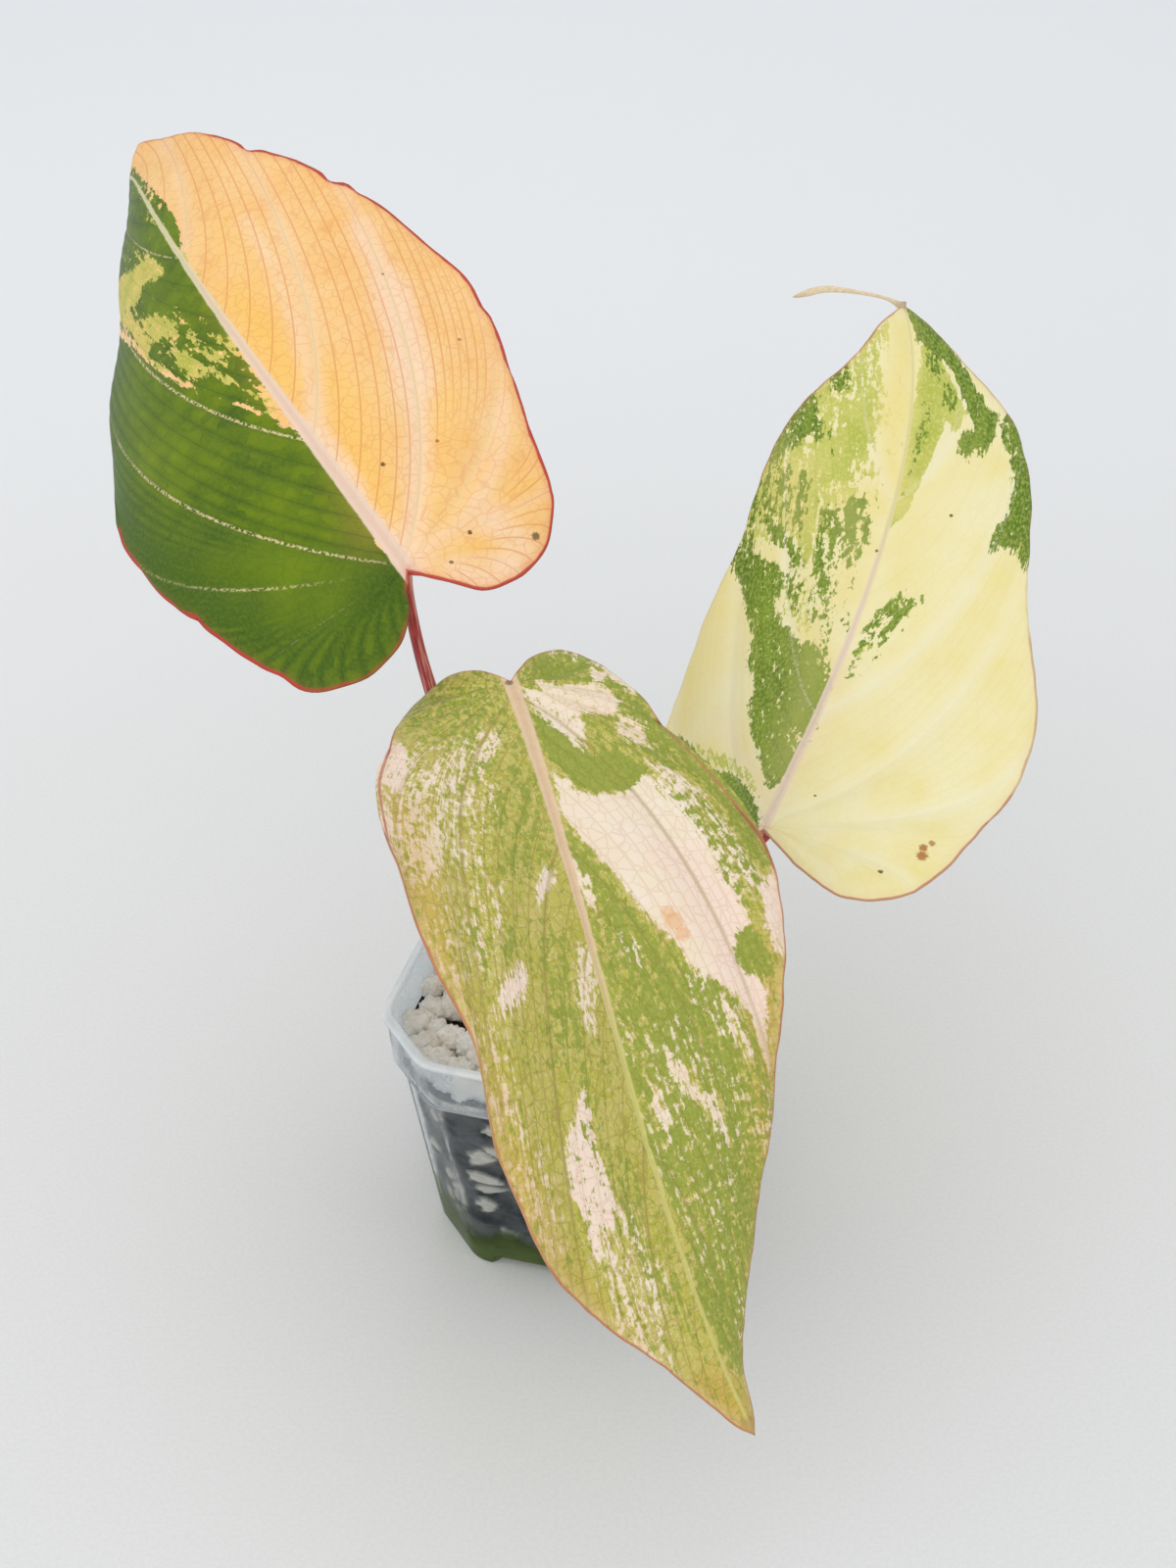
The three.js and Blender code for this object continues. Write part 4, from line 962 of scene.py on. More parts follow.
PAINT_C = dict(
    deep=(0.22, [
        (0.45, 5, [(8, 12), (2, 15), (2, 26), (3, 42), (3, 53), (17, 62), (22, 56), (20, 42), (15, 26)]),
        (0.5, 5, [(14, 70), (4, 70), (7, 86), (9, 104), (16, 119), (17, 104), (20, 96), (18, 86)]),
        (0.5, 5, [(35, 69), (22, 69), (22, 76), (34, 78)]),
        (0.5, 4, [(14, 120), (5, 122), (2, 148), (4, 166), (10, 150), (13, 137)]),
        (0.66, 2.5, [(-2, 42), (-6, 49), (-9, 56), (-12, 66), (-17, 74), (-22, 80), (-24, 86), (-30, 91),
            (-33, 100), (-36, 109), (-41, 130), (-35, 144), (-28, 162), (-19, 179), (-10, 190), (0, 176),
            (-1, 154), (0, 130), (0, 110), (0, 92), (0, 75), (0, 56)]),
        (0.5, 3, [(-30, 100), (-42, 127), (-35, 144), (-30, 156), (-25, 120)]),
        (0.52, 2.5, [(0, 1), (-3, -15), (-11, -21), (-21, -22), (-26, -17), (-29, -10), (-35, -4), (-39, 3),
            (-45, 16), (-32, 34), (-28, 29), (-24, 34), (-18, 36), (-12, 36), (-8, 35), (-4, 28), (-2, 22),
            (-2, 16), (-2, 9)]),
        (1, 1.2, [(-4, 9), (-7, 11), (-11, 16), (-14, 25), (-20, 24), (-22, 26), (-26, 31), (-23, 35), (-18, 37),
            (-10, 35), (-6, 30), (-2, 22)]),
        (0.74, 2.5, [(-29, -10), (-36, -6), (-39, 4), (-37, 22), (-32, 33), (-29, 28), (-27, 21), (-24, 17),
            (-23, 10), (-22, 6)]),
        (0.85, 2, [(-8, -7), (-18, -8), (-22, -6), (-18, -2), (-10, 1), (-4, -1)]),
        (0.05, 1, LOBE_1),
        (0.08, 1.2, LOBE_2),
        (0.1, 1.2, LOBE_3),
        (0.1, 1, LOBE_4),
        (0, 1.5, BAND),
        (0.5, 3, STRIP),
        (0.75, 2, [(-44, 15), (-48, 23), (-53, 33), (-56, 45), (-58, 54), (-50, 62), (-47, 59), (-44, 50),
            (-42, 42), (-38, 34), (-34, 28)]),
        (0.55, 2, [(-36, 54), (-39, 60), (-42, 67), (-43, 73), (-40, 74), (-38, 70), (-36, 62)]),
        (0.85, 1.6, [(-36, 78), (-40, 76), (-42, 82), (-44, 86), (-42, 92), (-40, 90), (-36, 88), (-34, 82)]),
        (0.1, 2, EDGE_PATCH),
        (0.3, 3, [(-40, 90), (-50, 97), (-42, 127), (-37, 106)]),
        (0.5, 5, [(27, -15), (12, -18), (2, -1), (6, 18), (14, 28), (20, 15), (34, 5)]),
        *[(deep, edge, ring) for deep, _, edge, ring in SMALL_RINGS],
    ]),
    lime=(0.95, [
        (0.52, 5, [(39, 14), (18, 25), (28, 52), (42, 61), (54, 52), (51, 36)]),
        (0.68, 5, [(37, 60), (22, 60), (32, 78), (44, 84), (53, 70)]),
        (0.6, 4, [(45, 115), (28, 112), (28, 126), (30, 135), (41, 133)]),
        (0.6, 4, [(18, 128), (8, 132), (6, 152), (14, 183), (21, 166), (22, 137)]),
        (0, 1.5, BAND),
        (0.55, 3, STRIP),
        (0.1, 2, EDGE_PATCH),
        (0.02, 1.2, LOBE_1),
        (0.05, 1.2, LOBE_2),
        (0.05, 1.2, LOBE_3),
        (0.3, 1, LOBE_4),
        (0.4, 2, [(-35, -19), (-28, -23), (-18, -23), (-9, -19), (-10, -10), (-22, -6), (-27, -2)]),
        (0.03, 1.2, [(38, 7), (30, 14), (32, 23), (36, 32), (45, 26)]),
        (0.05, 1.2, [(52, 39), (42, 42), (44, 46), (55, 46)]),
        (0.03, 1, [(6, 54), (4, 56), (7, 60), (12, 64), (12, 60), (8, 56)]),
        (0.02, 1, [(22, 77), (22, 81), (25, 85), (31, 87), (34, 86), (30, 82)]),
        (0.02, 1, [(14, 105), (14, 110), (15, 117), (14, 124), (14, 130), (16, 134), (20, 134), (20, 139),
            (22, 137), (22, 130), (24, 123), (23, 117), (20, 112)]),
        (0.4, 2, [(-8, 72), (-13, 77), (-10, 82), (-7, 76)]),
        (0.45, 2, [(4, 70), (2, 80), (8, 92), (9, 86)]),
        (0.12, 1.2, [(-5, 93), (-8, 100), (-9, 106), (-8, 104), (-5, 98)]),
        (0.4, 2.5, [(-10, 108), (-16, 114), (-15, 122), (-8, 128), (-8, 114)]),
        (0.08, 1.2, [(-7, 123), (-10, 132), (-10, 142), (-8, 142), (-6, 134)]),
        (0.3, 1.5, [(-16, 131), (-20, 131), (-16, 136)]),
        (0.5, 3, [(-24, 91), (-32, 94), (-27, 104), (-24, 100)]),
        (0.45, 2, [(-21, 84), (-26, 88), (-22, 94), (-20, 90)]),
        (0.1, 1.5, [(-12, 162), (-14, 188), (-7, 198), (-8, 171)]),
        (0.5, 2.5, [(-32, 116), (-41, 130), (-35, 144), (-28, 128)]),
        (0.35, 2, [(-2, 52), (-4, 58), (-4, 65), (-2, 62)]),
        (0.62, 4, [(28, 15), (11, 15), (12, 34), (27, 60), (32, 54), (20, 28)]),
        (0.7, 3, [(42, 86), (34, 88), (32, 101), (33, 110), (45, 110), (48, 99)]),
        (0.74, 4, [(0, 92), (-19, 92), (-30, 121), (-14, 156), (-2, 155), (0, 112)]),
        *[(lime, edge, ring) for _, lime, edge, ring in SMALL_RINGS],
    ]),
    blush=(0.25, [
        (1, 6, [(-26, 54), (-33, 70), (-37, 96)], 5),
        (1, 3, [(32, 14), (38, 31), (46, 46)], 3),
        (0.9, 4, [(14, 108), (20, 124), (20, 134)], 5),
        (0.8, 4, [(24, 78), (31, 86)], 5),
        (0.9, 4, [(-50, 64), (-47, 84)], 4),
        (0, 5, [(-6, 33), (-14, 40), (-24, 38), (-29, 46)], 5),
    ]),
    warm=(0, [
        (0.55, 7, [(-48, 84), (-45, 104), (-38, 128), (-28, 152), (-15, 176)], 6),
        (1, 10, [(53, 70), (52, 87), (48, 110), (41, 137), (31, 160)], 9),
        (0.7, 6, [(6, 181), (1, 194)], 6),
        (0.6, 6, [(-40, 96), (-36, 118), (-30, 130)], 3),
        (0.6, 8, [(38, 38), (44, 62)], 5),
    ]),
    rim=(0.55, [
        (0.9, 6, [(33, 14), (44, 40), (46, 53), (47, 66), (44, 84)], 4),
        (0.9, 6, [(30, 142), (20, 155), (10, 170), (4, 187), (0, 196), (-4, 185), (-6, 178)], 5),
        (0.8, 6, [(-50, 55), (-50, 73), (-48, 84), (-42, 96), (-37, 116)], 4),
    ]),
)

for leaf, paint, look, skin in (
    ("leaf_back_left", PAINT_A, LOOK_A, "leaf_peach"),
    ("leaf_back_right", PAINT_B, LOOK_B, "leaf_cream"),
    ("leaf_front", PAINT_C, LOOK_C, "leaf_olive"),
):
    dress(blade_mesh(leaf, paint), leaf_material(skin, look), leaf)


# ---------------------------------------------------------------- tubes

def frames_along(line):
    """Tangent and two level axes at each point of a line, turned as little as possible on the way."""
    tangent = unit(np.gradient(line, axis=0))
    first = np.cross(tangent[0], [0.0, 1.0, 0.0])
    if np.linalg.norm(first) < 0.1:
        first = np.cross(tangent[0], [1.0, 0.0, 0.0])
    axes = [first / np.linalg.norm(first)]
    for t in tangent[1:]:
        a = axes[-1] - t * (axes[-1] @ t)
        axes.append(a / np.linalg.norm(a))
    a = np.array(axes)
    return tangent, a, np.cross(tangent, a)


# How far the middle of a closing cap stands out.
TUBE_END = 0.1


def tube(line, radius, sides, flatten=None):
    """Points, faces and (angle, length) of a closed tube. radius is per ring, or per ring and side."""
    line = np.asarray(line, float)
    tangent, a, b = frames_along(line)
    angle = turns(sides)
    radius = np.broadcast_to(np.asarray(radius, float).reshape(len(line), -1), (len(line), sides))
    flat = np.ones(len(line)) if flatten is None else np.asarray(flatten)
    ring = (a[:, None] * (np.cos(angle)[None, :] * radius)[..., None]
            + b[:, None] * (np.sin(angle)[None, :] * radius * flat[:, None])[..., None])
    points = (line[:, None] + ring).reshape(-1, 3)
    length = lengths_along(line)
    run = np.stack([np.tile(angle, len(line)), np.repeat(length, sides), np.zeros(len(points))], axis=1)
    run = np.vstack([run, [0, 0, 0], [0, length[-1], 0]])
    low, high = line[0] - tangent[0] * TUBE_END, line[-1] + tangent[-1] * TUBE_END
    return *closed_skin(points, sides, low, high), run


# ---------------------------------------------------------------- stalks

RHIZOME_TOP = 72
GAP = 0.3
# The frame leaves a gap at both ends of a stalk. The visible stalk reaches this far up and down to close it.
REACH_UP = 0.55
REACH_DOWN = 0.2
# Each stalk: its leaf, its foot, the bends between and its radius at foot, middle and top.
STALKS = {
    "petiole_back_left": ("leaf_back_left", (-3.8, 2.6), [(-10, 8, 118), (-36, 6, 150)], (2.7, 2.1, 1.3)),
    "petiole_back_right": ("leaf_back_right", (3.9, 2), [(14, 4, 92), (38, 2, 104)], (2.7, 2.1, 1.5)),
    "petiole_front": ("leaf_front", (0, -4.4), [(0, -2, 110), (-11, -4, 145)], (2.7, 2.1, 1.4)),
}


def stalk_material():
    net = Net("red_stalk")
    angle, along, _ = net.split(net.attribute("run"))
    place = net.place()
    x, y = net.math("COSINE", angle), net.math("SINE", angle)
    stripe = net.noise(net.join(x * 1.6, y * 1.6, along * 0.035), 1.3, 3.0, 0.55).step(0.50, 0.62)
    fine = net.noise(net.join(x * 6.0, y * 6.0, along * 0.12), 1, 2.0)
    mottle = net.noise(place, 260.0, 3.0).step(0.3, 0.7)
    colour = net.blend(mottle, (150, 40, 44), (176, 62, 58))
    colour = net.blend(fine.step(0.45, 0.7) * 0.5, colour, (120, 26, 34))
    colour = net.blend(stripe * 0.8, colour, (230, 178, 162))
    foot = (along + mottle * 8.0).step(16.0, 4.0)
    colour = net.blend(foot * 0.75, colour, (146, 132, 74))
    height = fine * 0.6 + net.noise(place, 1400.0, 2.0) * 0.4
    return net.finish(Base_Color=colour, Roughness=0.36 + mottle * 0.14, Specular_IOR_Level=0.45,
                      Normal=net.bump(height, 0.3, 0.0002))


def stalk(name, material):
    leaf, foot, bend, radius = STALKS[name]
    point, normal = Surface(BLADES[leaf]).at(0, 0, 1)
    end = point[0] - normal[0] * (BLADE_THICK / 2 + RIB_DEPTH + RIB_SINK + GAP - REACH_UP)
    t = np.linspace(0, 1, 400)
    line = bezier([(*foot, RHIZOME_TOP + GAP - REACH_DOWN), *bend, tuple(end)], t)[0]
    travelled = lengths_along(line)
    even = np.linspace(0, travelled[-1], 110)
    line = np.stack([np.interp(even, travelled, line[:, c]) for c in range(3)], axis=-1)
    share = even / even[-1]
    sides = 32
    angle = turns(sides)
    width = through_three(radius, share)
    width = width * (1 + 0.16 * np.exp(-((even / 5.0) ** 2)))
    width = width * (1 + 0.22 * np.exp(-(((even[-1] - even) / 4.0) ** 2)))
    wobble = np.array([noise.noise(Vector((v * 0.06, 3.7, len(name)))) for v in even])
    shape = 1 + 0.03 * np.cos(5 * angle)[None, :] - 0.16 * np.exp(-(((angle - np.pi / 2) / 0.42) ** 2))[None, :]
    points, faces, run = tube(line, (width * (1 + 0.05 * wobble))[:, None] * shape, sides)
    piece = make_mesh(f"{name}_stalk", points, faces, {"run": run})
    return dress(piece, material, name)


red = stalk_material()
for stalk_name in STALKS:
    stalk(stalk_name, red)


# ---------------------------------------------------------------- the cream leaf's dried tip

TAIL = [(96.9, 135.6, 217.2), (92.8, 141, 217.6), (84.5, 144, 218.3), (75.3, 145.4, 218.6), (65.6, 141.3, 217.9)]


TAIL_WIDTH = [(0, 1.7), (0.06, 0.95), (0.2, 0.5), (0.42, 0.62), (0.66, 1.1), (0.84, 1.15), (0.95, 0.6), (1, 0.12)]


def dried_tip():
    share = np.linspace(0, 1, 70)
    line = curve_through(TAIL, share)
    width = np.interp(share, *zip(*TAIL_WIDTH))
    sides = 16
    angle = turns(sides)
    shape = 1 + 0.12 * np.cos(2 * angle[None, :] + 5 * share[:, None]) + 0.06 * np.cos(5 * angle)[None, :]
    points, faces, run = tube(line, width[:, None] * shape, sides, flatten=0.55 + 0.25 * np.cos(6 * share))
    net = Net("dried_tip")
    place = net.place()
    _, along, _ = net.split(net.attribute("run"))
    fibre = net.noise(place, (900.0, 3000.0, 3000.0), 3.0).step(0.3, 0.7)
    colour = net.blend(fibre, (242, 226, 194), (226, 202, 164))
    colour = net.blend(along.step(29.0, 36.0) * 0.5, colour, (188, 150, 112))
    colour = net.blend(along.step(5.0, 0.0) * 0.6, colour, (186, 156, 122))
    material = net.finish(Base_Color=colour, Roughness=0.6, Specular_IOR_Level=0.3,
                          Normal=net.bump(fibre, 0.4, 0.0003))
    piece = make_mesh("leaf_back_right_dried_tip", points, faces, {"run": run})
    return dress(piece, material, "leaf_back_right")


dried_tip()


# ---------------------------------------------------------------- pot

POT_HEIGHT = 80
POT_TURN = math.radians(-15.4)
CUT_CORNER = 24
CORNER_ROUND = 4
WALL = 1.2
# Half the width across the flats at the foot of the body and of the collar, and how much each gains in going up.
BODY_HALF, BODY_FLARE = 33.4, 7.2
COLLAR_FOOT = 63
COLLAR_HALF, COLLAR_FLARE = 42.2, 1.2
# The floor's underside and upper face, half the slot between two feet, and how softly rings close up over it.
FOOT_RISE = 3
FLOOR_TOP = 4.6
SLOT_HALF = (10.4, 12.4)
ARCH_SOFT = 9
# The rounded foot of the inner wall, as (z, half).
FILLET = [(6.4, 32.85), (5.3, 32.4), (4.75, 31.6), (FLOOR_TOP, 30.4)]


def turned(points):
    points = np.asarray(points, float)
    c, s = math.cos(POT_TURN), math.sin(POT_TURN)
    return np.stack([points[:, 0] * c - points[:, 1] * s, points[:, 0] * s + points[:, 1] * c, points[:, 2]], axis=1)


FAR = 99.0


def pot_ring(half, round_steps=6, side_steps=14, cut_steps=8):
    """A square with cut, rounded corners. Returns its points and, for each, how far it is along a straight
    side from that side's middle, or FAR on a cut one."""
    leg = CUT_CORNER / math.sqrt(2)
    corners = []
    for quarter in range(4):
        c, s = math.cos(quarter * math.pi / 2), math.sin(quarter * math.pi / 2)
        for x, y in ((half, half - leg), (half - leg, half)):
            corners.append(np.array([x * c - y * s, x * s + y * c]))
    ring, middle = [], []
    for i, corner in enumerate(corners):
        before, after = corners[i - 1], corners[(i + 1) % 8]
        start = corner + (before - corner) / np.linalg.norm(before - corner) * CORNER_ROUND
        end = corner + (after - corner) / np.linalg.norm(after - corner) * CORNER_ROUND
        for t in np.linspace(0, 1, round_steps + 1):
            ring.append((1 - t) ** 2 * start + 2 * t * (1 - t) * corner + t * t * end)
            middle.append(FAR)
        follow = corners[(i + 2) % 8]
        goal = after + (corner - after) / np.linalg.norm(corner - after) * CORNER_ROUND
        steps = cut_steps if i % 2 == 0 else side_steps
        centre = (corner + after) / 2
        for t in np.linspace(0, 1, steps + 1)[1:-1]:
            place = end + (goal - end) * t
            ring.append(place)
            middle.append(FAR if i % 2 == 0 else float(np.linalg.norm(place - centre)))
    return np.array(ring), np.array(middle)


def fine_ring(half):
    return pot_ring(half, round_steps=4, side_steps=26, cut_steps=16)[0]


def outside_half(z):
    if z < COLLAR_FOOT:
        return BODY_HALF + BODY_FLARE * z / COLLAR_FOOT
    return COLLAR_HALF + COLLAR_FLARE * (z - COLLAR_FOOT) / (POT_HEIGHT - COLLAR_FOOT)


def inside_half(z):
    return outside_half(z) - WALL


def plastic_material():
    net = Net("frosted_plastic")
    place = net.place()
    _, _, z = net.split(place)
    cloud = net.noise(place, 95.0, 3.0).step(0.45, 0.56)
    fog = net.noise(place, 260.0, 3.0).step(0.3, 0.7)
    scuff = net.noise(place, (500.0, 500.0, 1600.0), 3.0).step(0.5, 0.75)
    top = z.step(0.0775, 0.0792)
    collar = z.step(0.0620, 0.0640)
    ledge = (z - 0.0632).abs().step(0.0016, 0.0004)
    algae_edge = z + net.noise(place, 120.0, 4.0, 0.6) * 0.014
    algae = algae_edge.step(0.0265, 0.0085)
    algae = algae * net.noise(place, 300.0, 4.0, 0.65).step(0.18, 0.5)
    colour = net.blend(cloud, (232, 238, 243), (240, 244, 247))
    colour = net.blend(algae.step(0.0, 0.45) * 0.95, colour, (108, 130, 60))
    haze = 0.008 + cloud * 0.035 + fog * 0.01 + collar * 0.13 + top * 0.5 + ledge * 0.2 + scuff * 0.02
    clear = (1.0 - haze) * (1.0 - algae * 0.4)
    rough = 0.06 + cloud * 0.12 + fog * 0.03 + collar * 0.14 + top * 0.1
    return net.finish(Base_Color=colour, Roughness=rough, IOR=1.06, Transmission_Weight=clear.clamp(),
                      Coat_Weight=0.12, Coat_Roughness=0.12, Coat_IOR=1.4,
                      Normal=net.bump(fog * 0.4 + scuff * 0.2, 0.15, 0.0003))


def pot():
    outer = [(0.0, 32.6), (0.0, 33.0), (0.35, 33.4), (1.4, 33.5)]
    outer += [(z, outside_half(z)) for z in np.linspace(3, 61.6, 24)]
    outer += [(62.2, 40.55), (62.6, 40.8), (62.9, 41.4), (63.2, 42.0), (63.6, 42.25), (64.2, 42.3)]
    outer += [(z, outside_half(z)) for z in np.linspace(65.5, 77.2, 8)]
    outer += [(77.8, 43.45), (78.1, 43.7), (78.5, 43.95), (79.3, 44.0), (79.7, 43.9), (79.95, 43.6), (80.0, 43.2)]
    inner = [(80.0, 42.6), (79.9, 42.25), (79.6, 42.05), (78.6, 41.98)]
    inner += [(z, inside_half(z)) for z in np.linspace(77.4, 64.6, 8)]
    inner += [(63.4, 41.0), (62.7, 40.7), (62.1, 39.9), (61.6, 39.4)]
    inner += [(z, inside_half(z)) for z in np.linspace(60, 8, 18)] + FILLET
    _, middle = pot_ring(BODY_HALF)
    lift = FOOT_RISE * (1 - smooth(middle, *SLOT_HALF))
    under = [(0.0, 31.6), (0.5, 31.25), (2.4, 31.1), (3.0, 30.6)]
    rings = []
    for z, half in list(reversed(under)) + outer + inner:
        ring = pot_ring(half)[0]
        height = np.full(len(ring), z)
        if z < FOOT_RISE + 0.01:
            height = height * (1 - lift / ARCH_SOFT) + lift * (1 - z / ARCH_SOFT)
        if (z, half) in under:
            height = np.minimum(height, FOOT_RISE)
        rings.append(np.column_stack([ring, height]))
    count = len(rings[0])
    base = pot_ring(FILLET[-1][1])[0] / FILLET[-1][1]
    # From the pad under the middle, out under the floor, up and down the wall and in over the floor.
    pad = [(0.0, 0.6), (0.0, 4.6), (0.25, 4.95), (2.8, 5.1), (FOOT_RISE, 5.5)]
    floor_under = [np.column_stack([unit(base) * r, np.full(count, float(z))]) for z, r in pad]
    floor_under += [np.column_stack([base * r, np.full(count, float(FOOT_RISE))]) for r in (14, 24)]
    floor_top = [np.column_stack([base * r, np.full(count, FLOOR_TOP)]) for r in (24, 14, 5, 0.6)]
    points = np.concatenate(floor_under + rings + floor_top)
    points, faces = closed_skin(points, count, [0, 0, 0], [0, 0, FLOOR_TOP])
    piece = make_mesh("pot_shell", turned(points), faces)
    weld(piece)
    return dress(piece, plastic_material(), "pot")


pot()


# ---------------------------------------------------------------- mix behind the wall

MIX_TOP = 65.5
# The gap to the wall, then how many chips are tried, how far apart they lie and how many are pale stones.
MIX_GAP = 0.12
CHIP_TRIES, CHIP_APART = 900, 3.4
CHIP_STRETCH = np.array([1, 1, 1.25])
PALE_SHARE = 0.24
# Heights between which the wall steps out under the collar, and half the mix's width there.
LEDGE, LEDGE_HALF = (61.5, 62.9), 39.4


def mix_material():
    net = Net("bark_mix")
    shade, gap, pale = net.split(net.attribute("chip"))
    place = net.place()
    fibre = net.noise(place, (420.0, 420.0, 1300.0), 4.0, 0.65).step(0.3, 0.7)
    grit = net.noise(place, 2200.0, 2.0)
    bark = net.blend(shade.step(0.45, 0.6), (8, 9, 13), (46, 48, 57))
    bark = net.blend(fibre * 0.5, bark, (16, 15, 18))
    stone = net.blend(fibre, (232, 224, 210), (204, 194, 176))
    colour = net.blend(pale, bark, stone)
    # Painted shade: the seams between chips, which the mesh also sinks, are painted near black for the shade that
    # falls into them.
    colour = net.blend(gap * 0.9, colour, (10, 9, 10))
    return net.finish(Base_Color=colour, Roughness=0.5 + pale * 0.4, Specular_IOR_Level=0.15,
                      Normal=net.bump(fibre * 0.7 + grit * 0.3, 0.6, 0.0006))


def potting_mix():
    """Rings behind the wall and over the top, sunk between seeds that each stand for one chip."""
    rng = np.random.default_rng(12)
    top = MIX_TOP - 0.1
    levels = np.r_[np.linspace(4.95, 61.1, 92), np.linspace(61.9, 65.0, 8), top]
    fillet = FILLET[::-1] + [(8.0, inside_half(8))]
    count = len(fine_ring(BODY_HALF))
    rings = []
    for z in levels:
        half = LEDGE_HALF if LEDGE[0] <= z <= LEDGE[1] else inside_half(z)
        if z < 8:
            half = min(half, np.interp(z, *zip(*fillet)))
        rings.append(np.column_stack([fine_ring(half - MIX_GAP), np.full(count, z)]))
    for r in (0.9, 0.72, 0.52, 0.34, 0.22):
        rings.append(np.column_stack([rings[len(levels) - 1][:, :2] * r, np.full(count, top)]))
    points = np.concatenate(rings)
    seeds = points[rng.choice(len(points), CHIP_TRIES)] + rng.normal(0, 1.6, (CHIP_TRIES, 3))
    keep = []
    for seed in seeds:
        if all(np.linalg.norm((seed - k) * CHIP_STRETCH) > CHIP_APART for k in keep):
            keep.append(seed)
    seeds = np.array(keep)
    shade, deep = rng.random(len(seeds)), rng.random(len(seeds))
    pale = (rng.random(len(seeds)) < PALE_SHARE).astype(float)
    gaps = np.sqrt((((points[:, None] - seeds[None]) * CHIP_STRETCH) ** 2).sum(axis=2))
    order = np.argsort(gaps, axis=1)[:, :2]
    near = np.take_along_axis(gaps, order, axis=1)
    border = near[:, 1] - near[:, 0]
    # gap is 1 on the seams between chips. They are sunk there, and the material paints them dark as painted shade.
    gap = 1 - smooth(border, 0.2, 1.5)
    own = order[:, 0]
    sink = 0.8 * gap + 0.7 * deep[own] * (1 - pale[own]) + 0.06 * near[:, 0]
    centre_way = points[:, :2] / np.maximum(1, np.linalg.norm(points[:, :2], axis=1, keepdims=True))
    side = (np.arange(len(points)) < len(levels) * count)[:, None]
    points[:, :2] -= np.where(side, centre_way * sink[:, None], 0)
    points[:, 2] -= np.where(side[:, 0], 0, 0.8 * sink)
    points, faces = closed_skin(points, count, [0, 0, levels[0]], [0, 0, MIX_TOP - 1.5])
    chip = np.stack([shade[own], gap, pale[own]], axis=1)
    chip = np.vstack([chip, [0.2, 0.5, 0], [0.2, 0.5, 0]])
    piece = make_mesh("potting_mix_chips", turned(points), faces, {"chip": chip})
    return dress(piece, mix_material(), "potting_mix")


potting_mix()


# ---------------------------------------------------------------- pale stones

BED_THICK = 1.4
RHIZOME_RADIUS = 8.4
BIG_STONES, WALL_STONES, SMALL_STONES = 66, 32, 110
BED_RINGS = 34


def repeatable(seed):
    """A repeatable run of numbers from 0 to 1, made in the same way as in the frame's source."""
    state = seed
    while True:
        state = (state * 1664525 + 1013904223) % 4294967296
        yield state / 4294967296


def place_stones():
    """Stones as (x, y, radius, height), and half the bed's width. The big ones lie where the frame's do, and
    some along the wall and small ones in the gaps follow."""
    numbers = repeatable(41)
    floor = MIX_TOP + GAP
    half = inside_half(floor) - GAP - 0.1
    cut_half = math.sqrt(2) * half - CUT_CORNER / 2
    placed = []
    for _ in range(6000):
        if len(placed) == BIG_STONES:
            break
        radius = 3.3 + 2.3 * next(numbers)
        reach = half - 1.2 * radius
        x = -reach + 2 * reach * next(numbers)
        y = -reach + 2 * reach * next(numbers)
        cut = (abs(x) + abs(y)) / math.sqrt(2) < cut_half - 1.2 * radius
        clear = math.hypot(x, y) > RHIZOME_RADIUS + 1.25 * radius + GAP
        free = all(math.hypot(a - x, b - y) > 0.78 * (r + radius) for a, b, r in placed)
        if cut and clear and free:
            placed.append((x, y, radius))
    rng = np.random.default_rng(5)
    stones = [(x, y, 1.14 * r, floor + BED_THICK + (0.1 + 0.3 * rng.random()) * r) for x, y, r in placed]
    wall = fine_ring(half)
    for k in np.linspace(0, len(wall), WALL_STONES, endpoint=False).astype(int):
        x, y = wall[k] * rng.uniform(0.88, 0.94)
        r = rng.uniform(3.3, 4.7)
        stones.append((x, y, r, floor + BED_THICK + rng.uniform(0.4, 2.6)))
    while len(stones) < len(placed) + WALL_STONES + SMALL_STONES:
        x, y = rng.uniform(-half + 2, half - 2, 2)
        r = rng.uniform(1.5, 2.9)
        if (abs(x) + abs(y)) / math.sqrt(2) > cut_half - 1.4 * r or math.hypot(x, y) < RHIZOME_RADIUS + 1.2 * r:
            continue
        stones.append((x, y, r, floor + BED_THICK + rng.uniform(0.2, 1.6)))
    return stones, half


def unit_ball(cuts):
    work = bmesh.new()
    bmesh.ops.create_icosphere(work, subdivisions=cuts, radius=1.0)
    points = np.array([v.co[:] for v in work.verts])
    faces = np.array([[v.index for v in f.verts] for f in work.faces])
    work.free()
    return points, faces


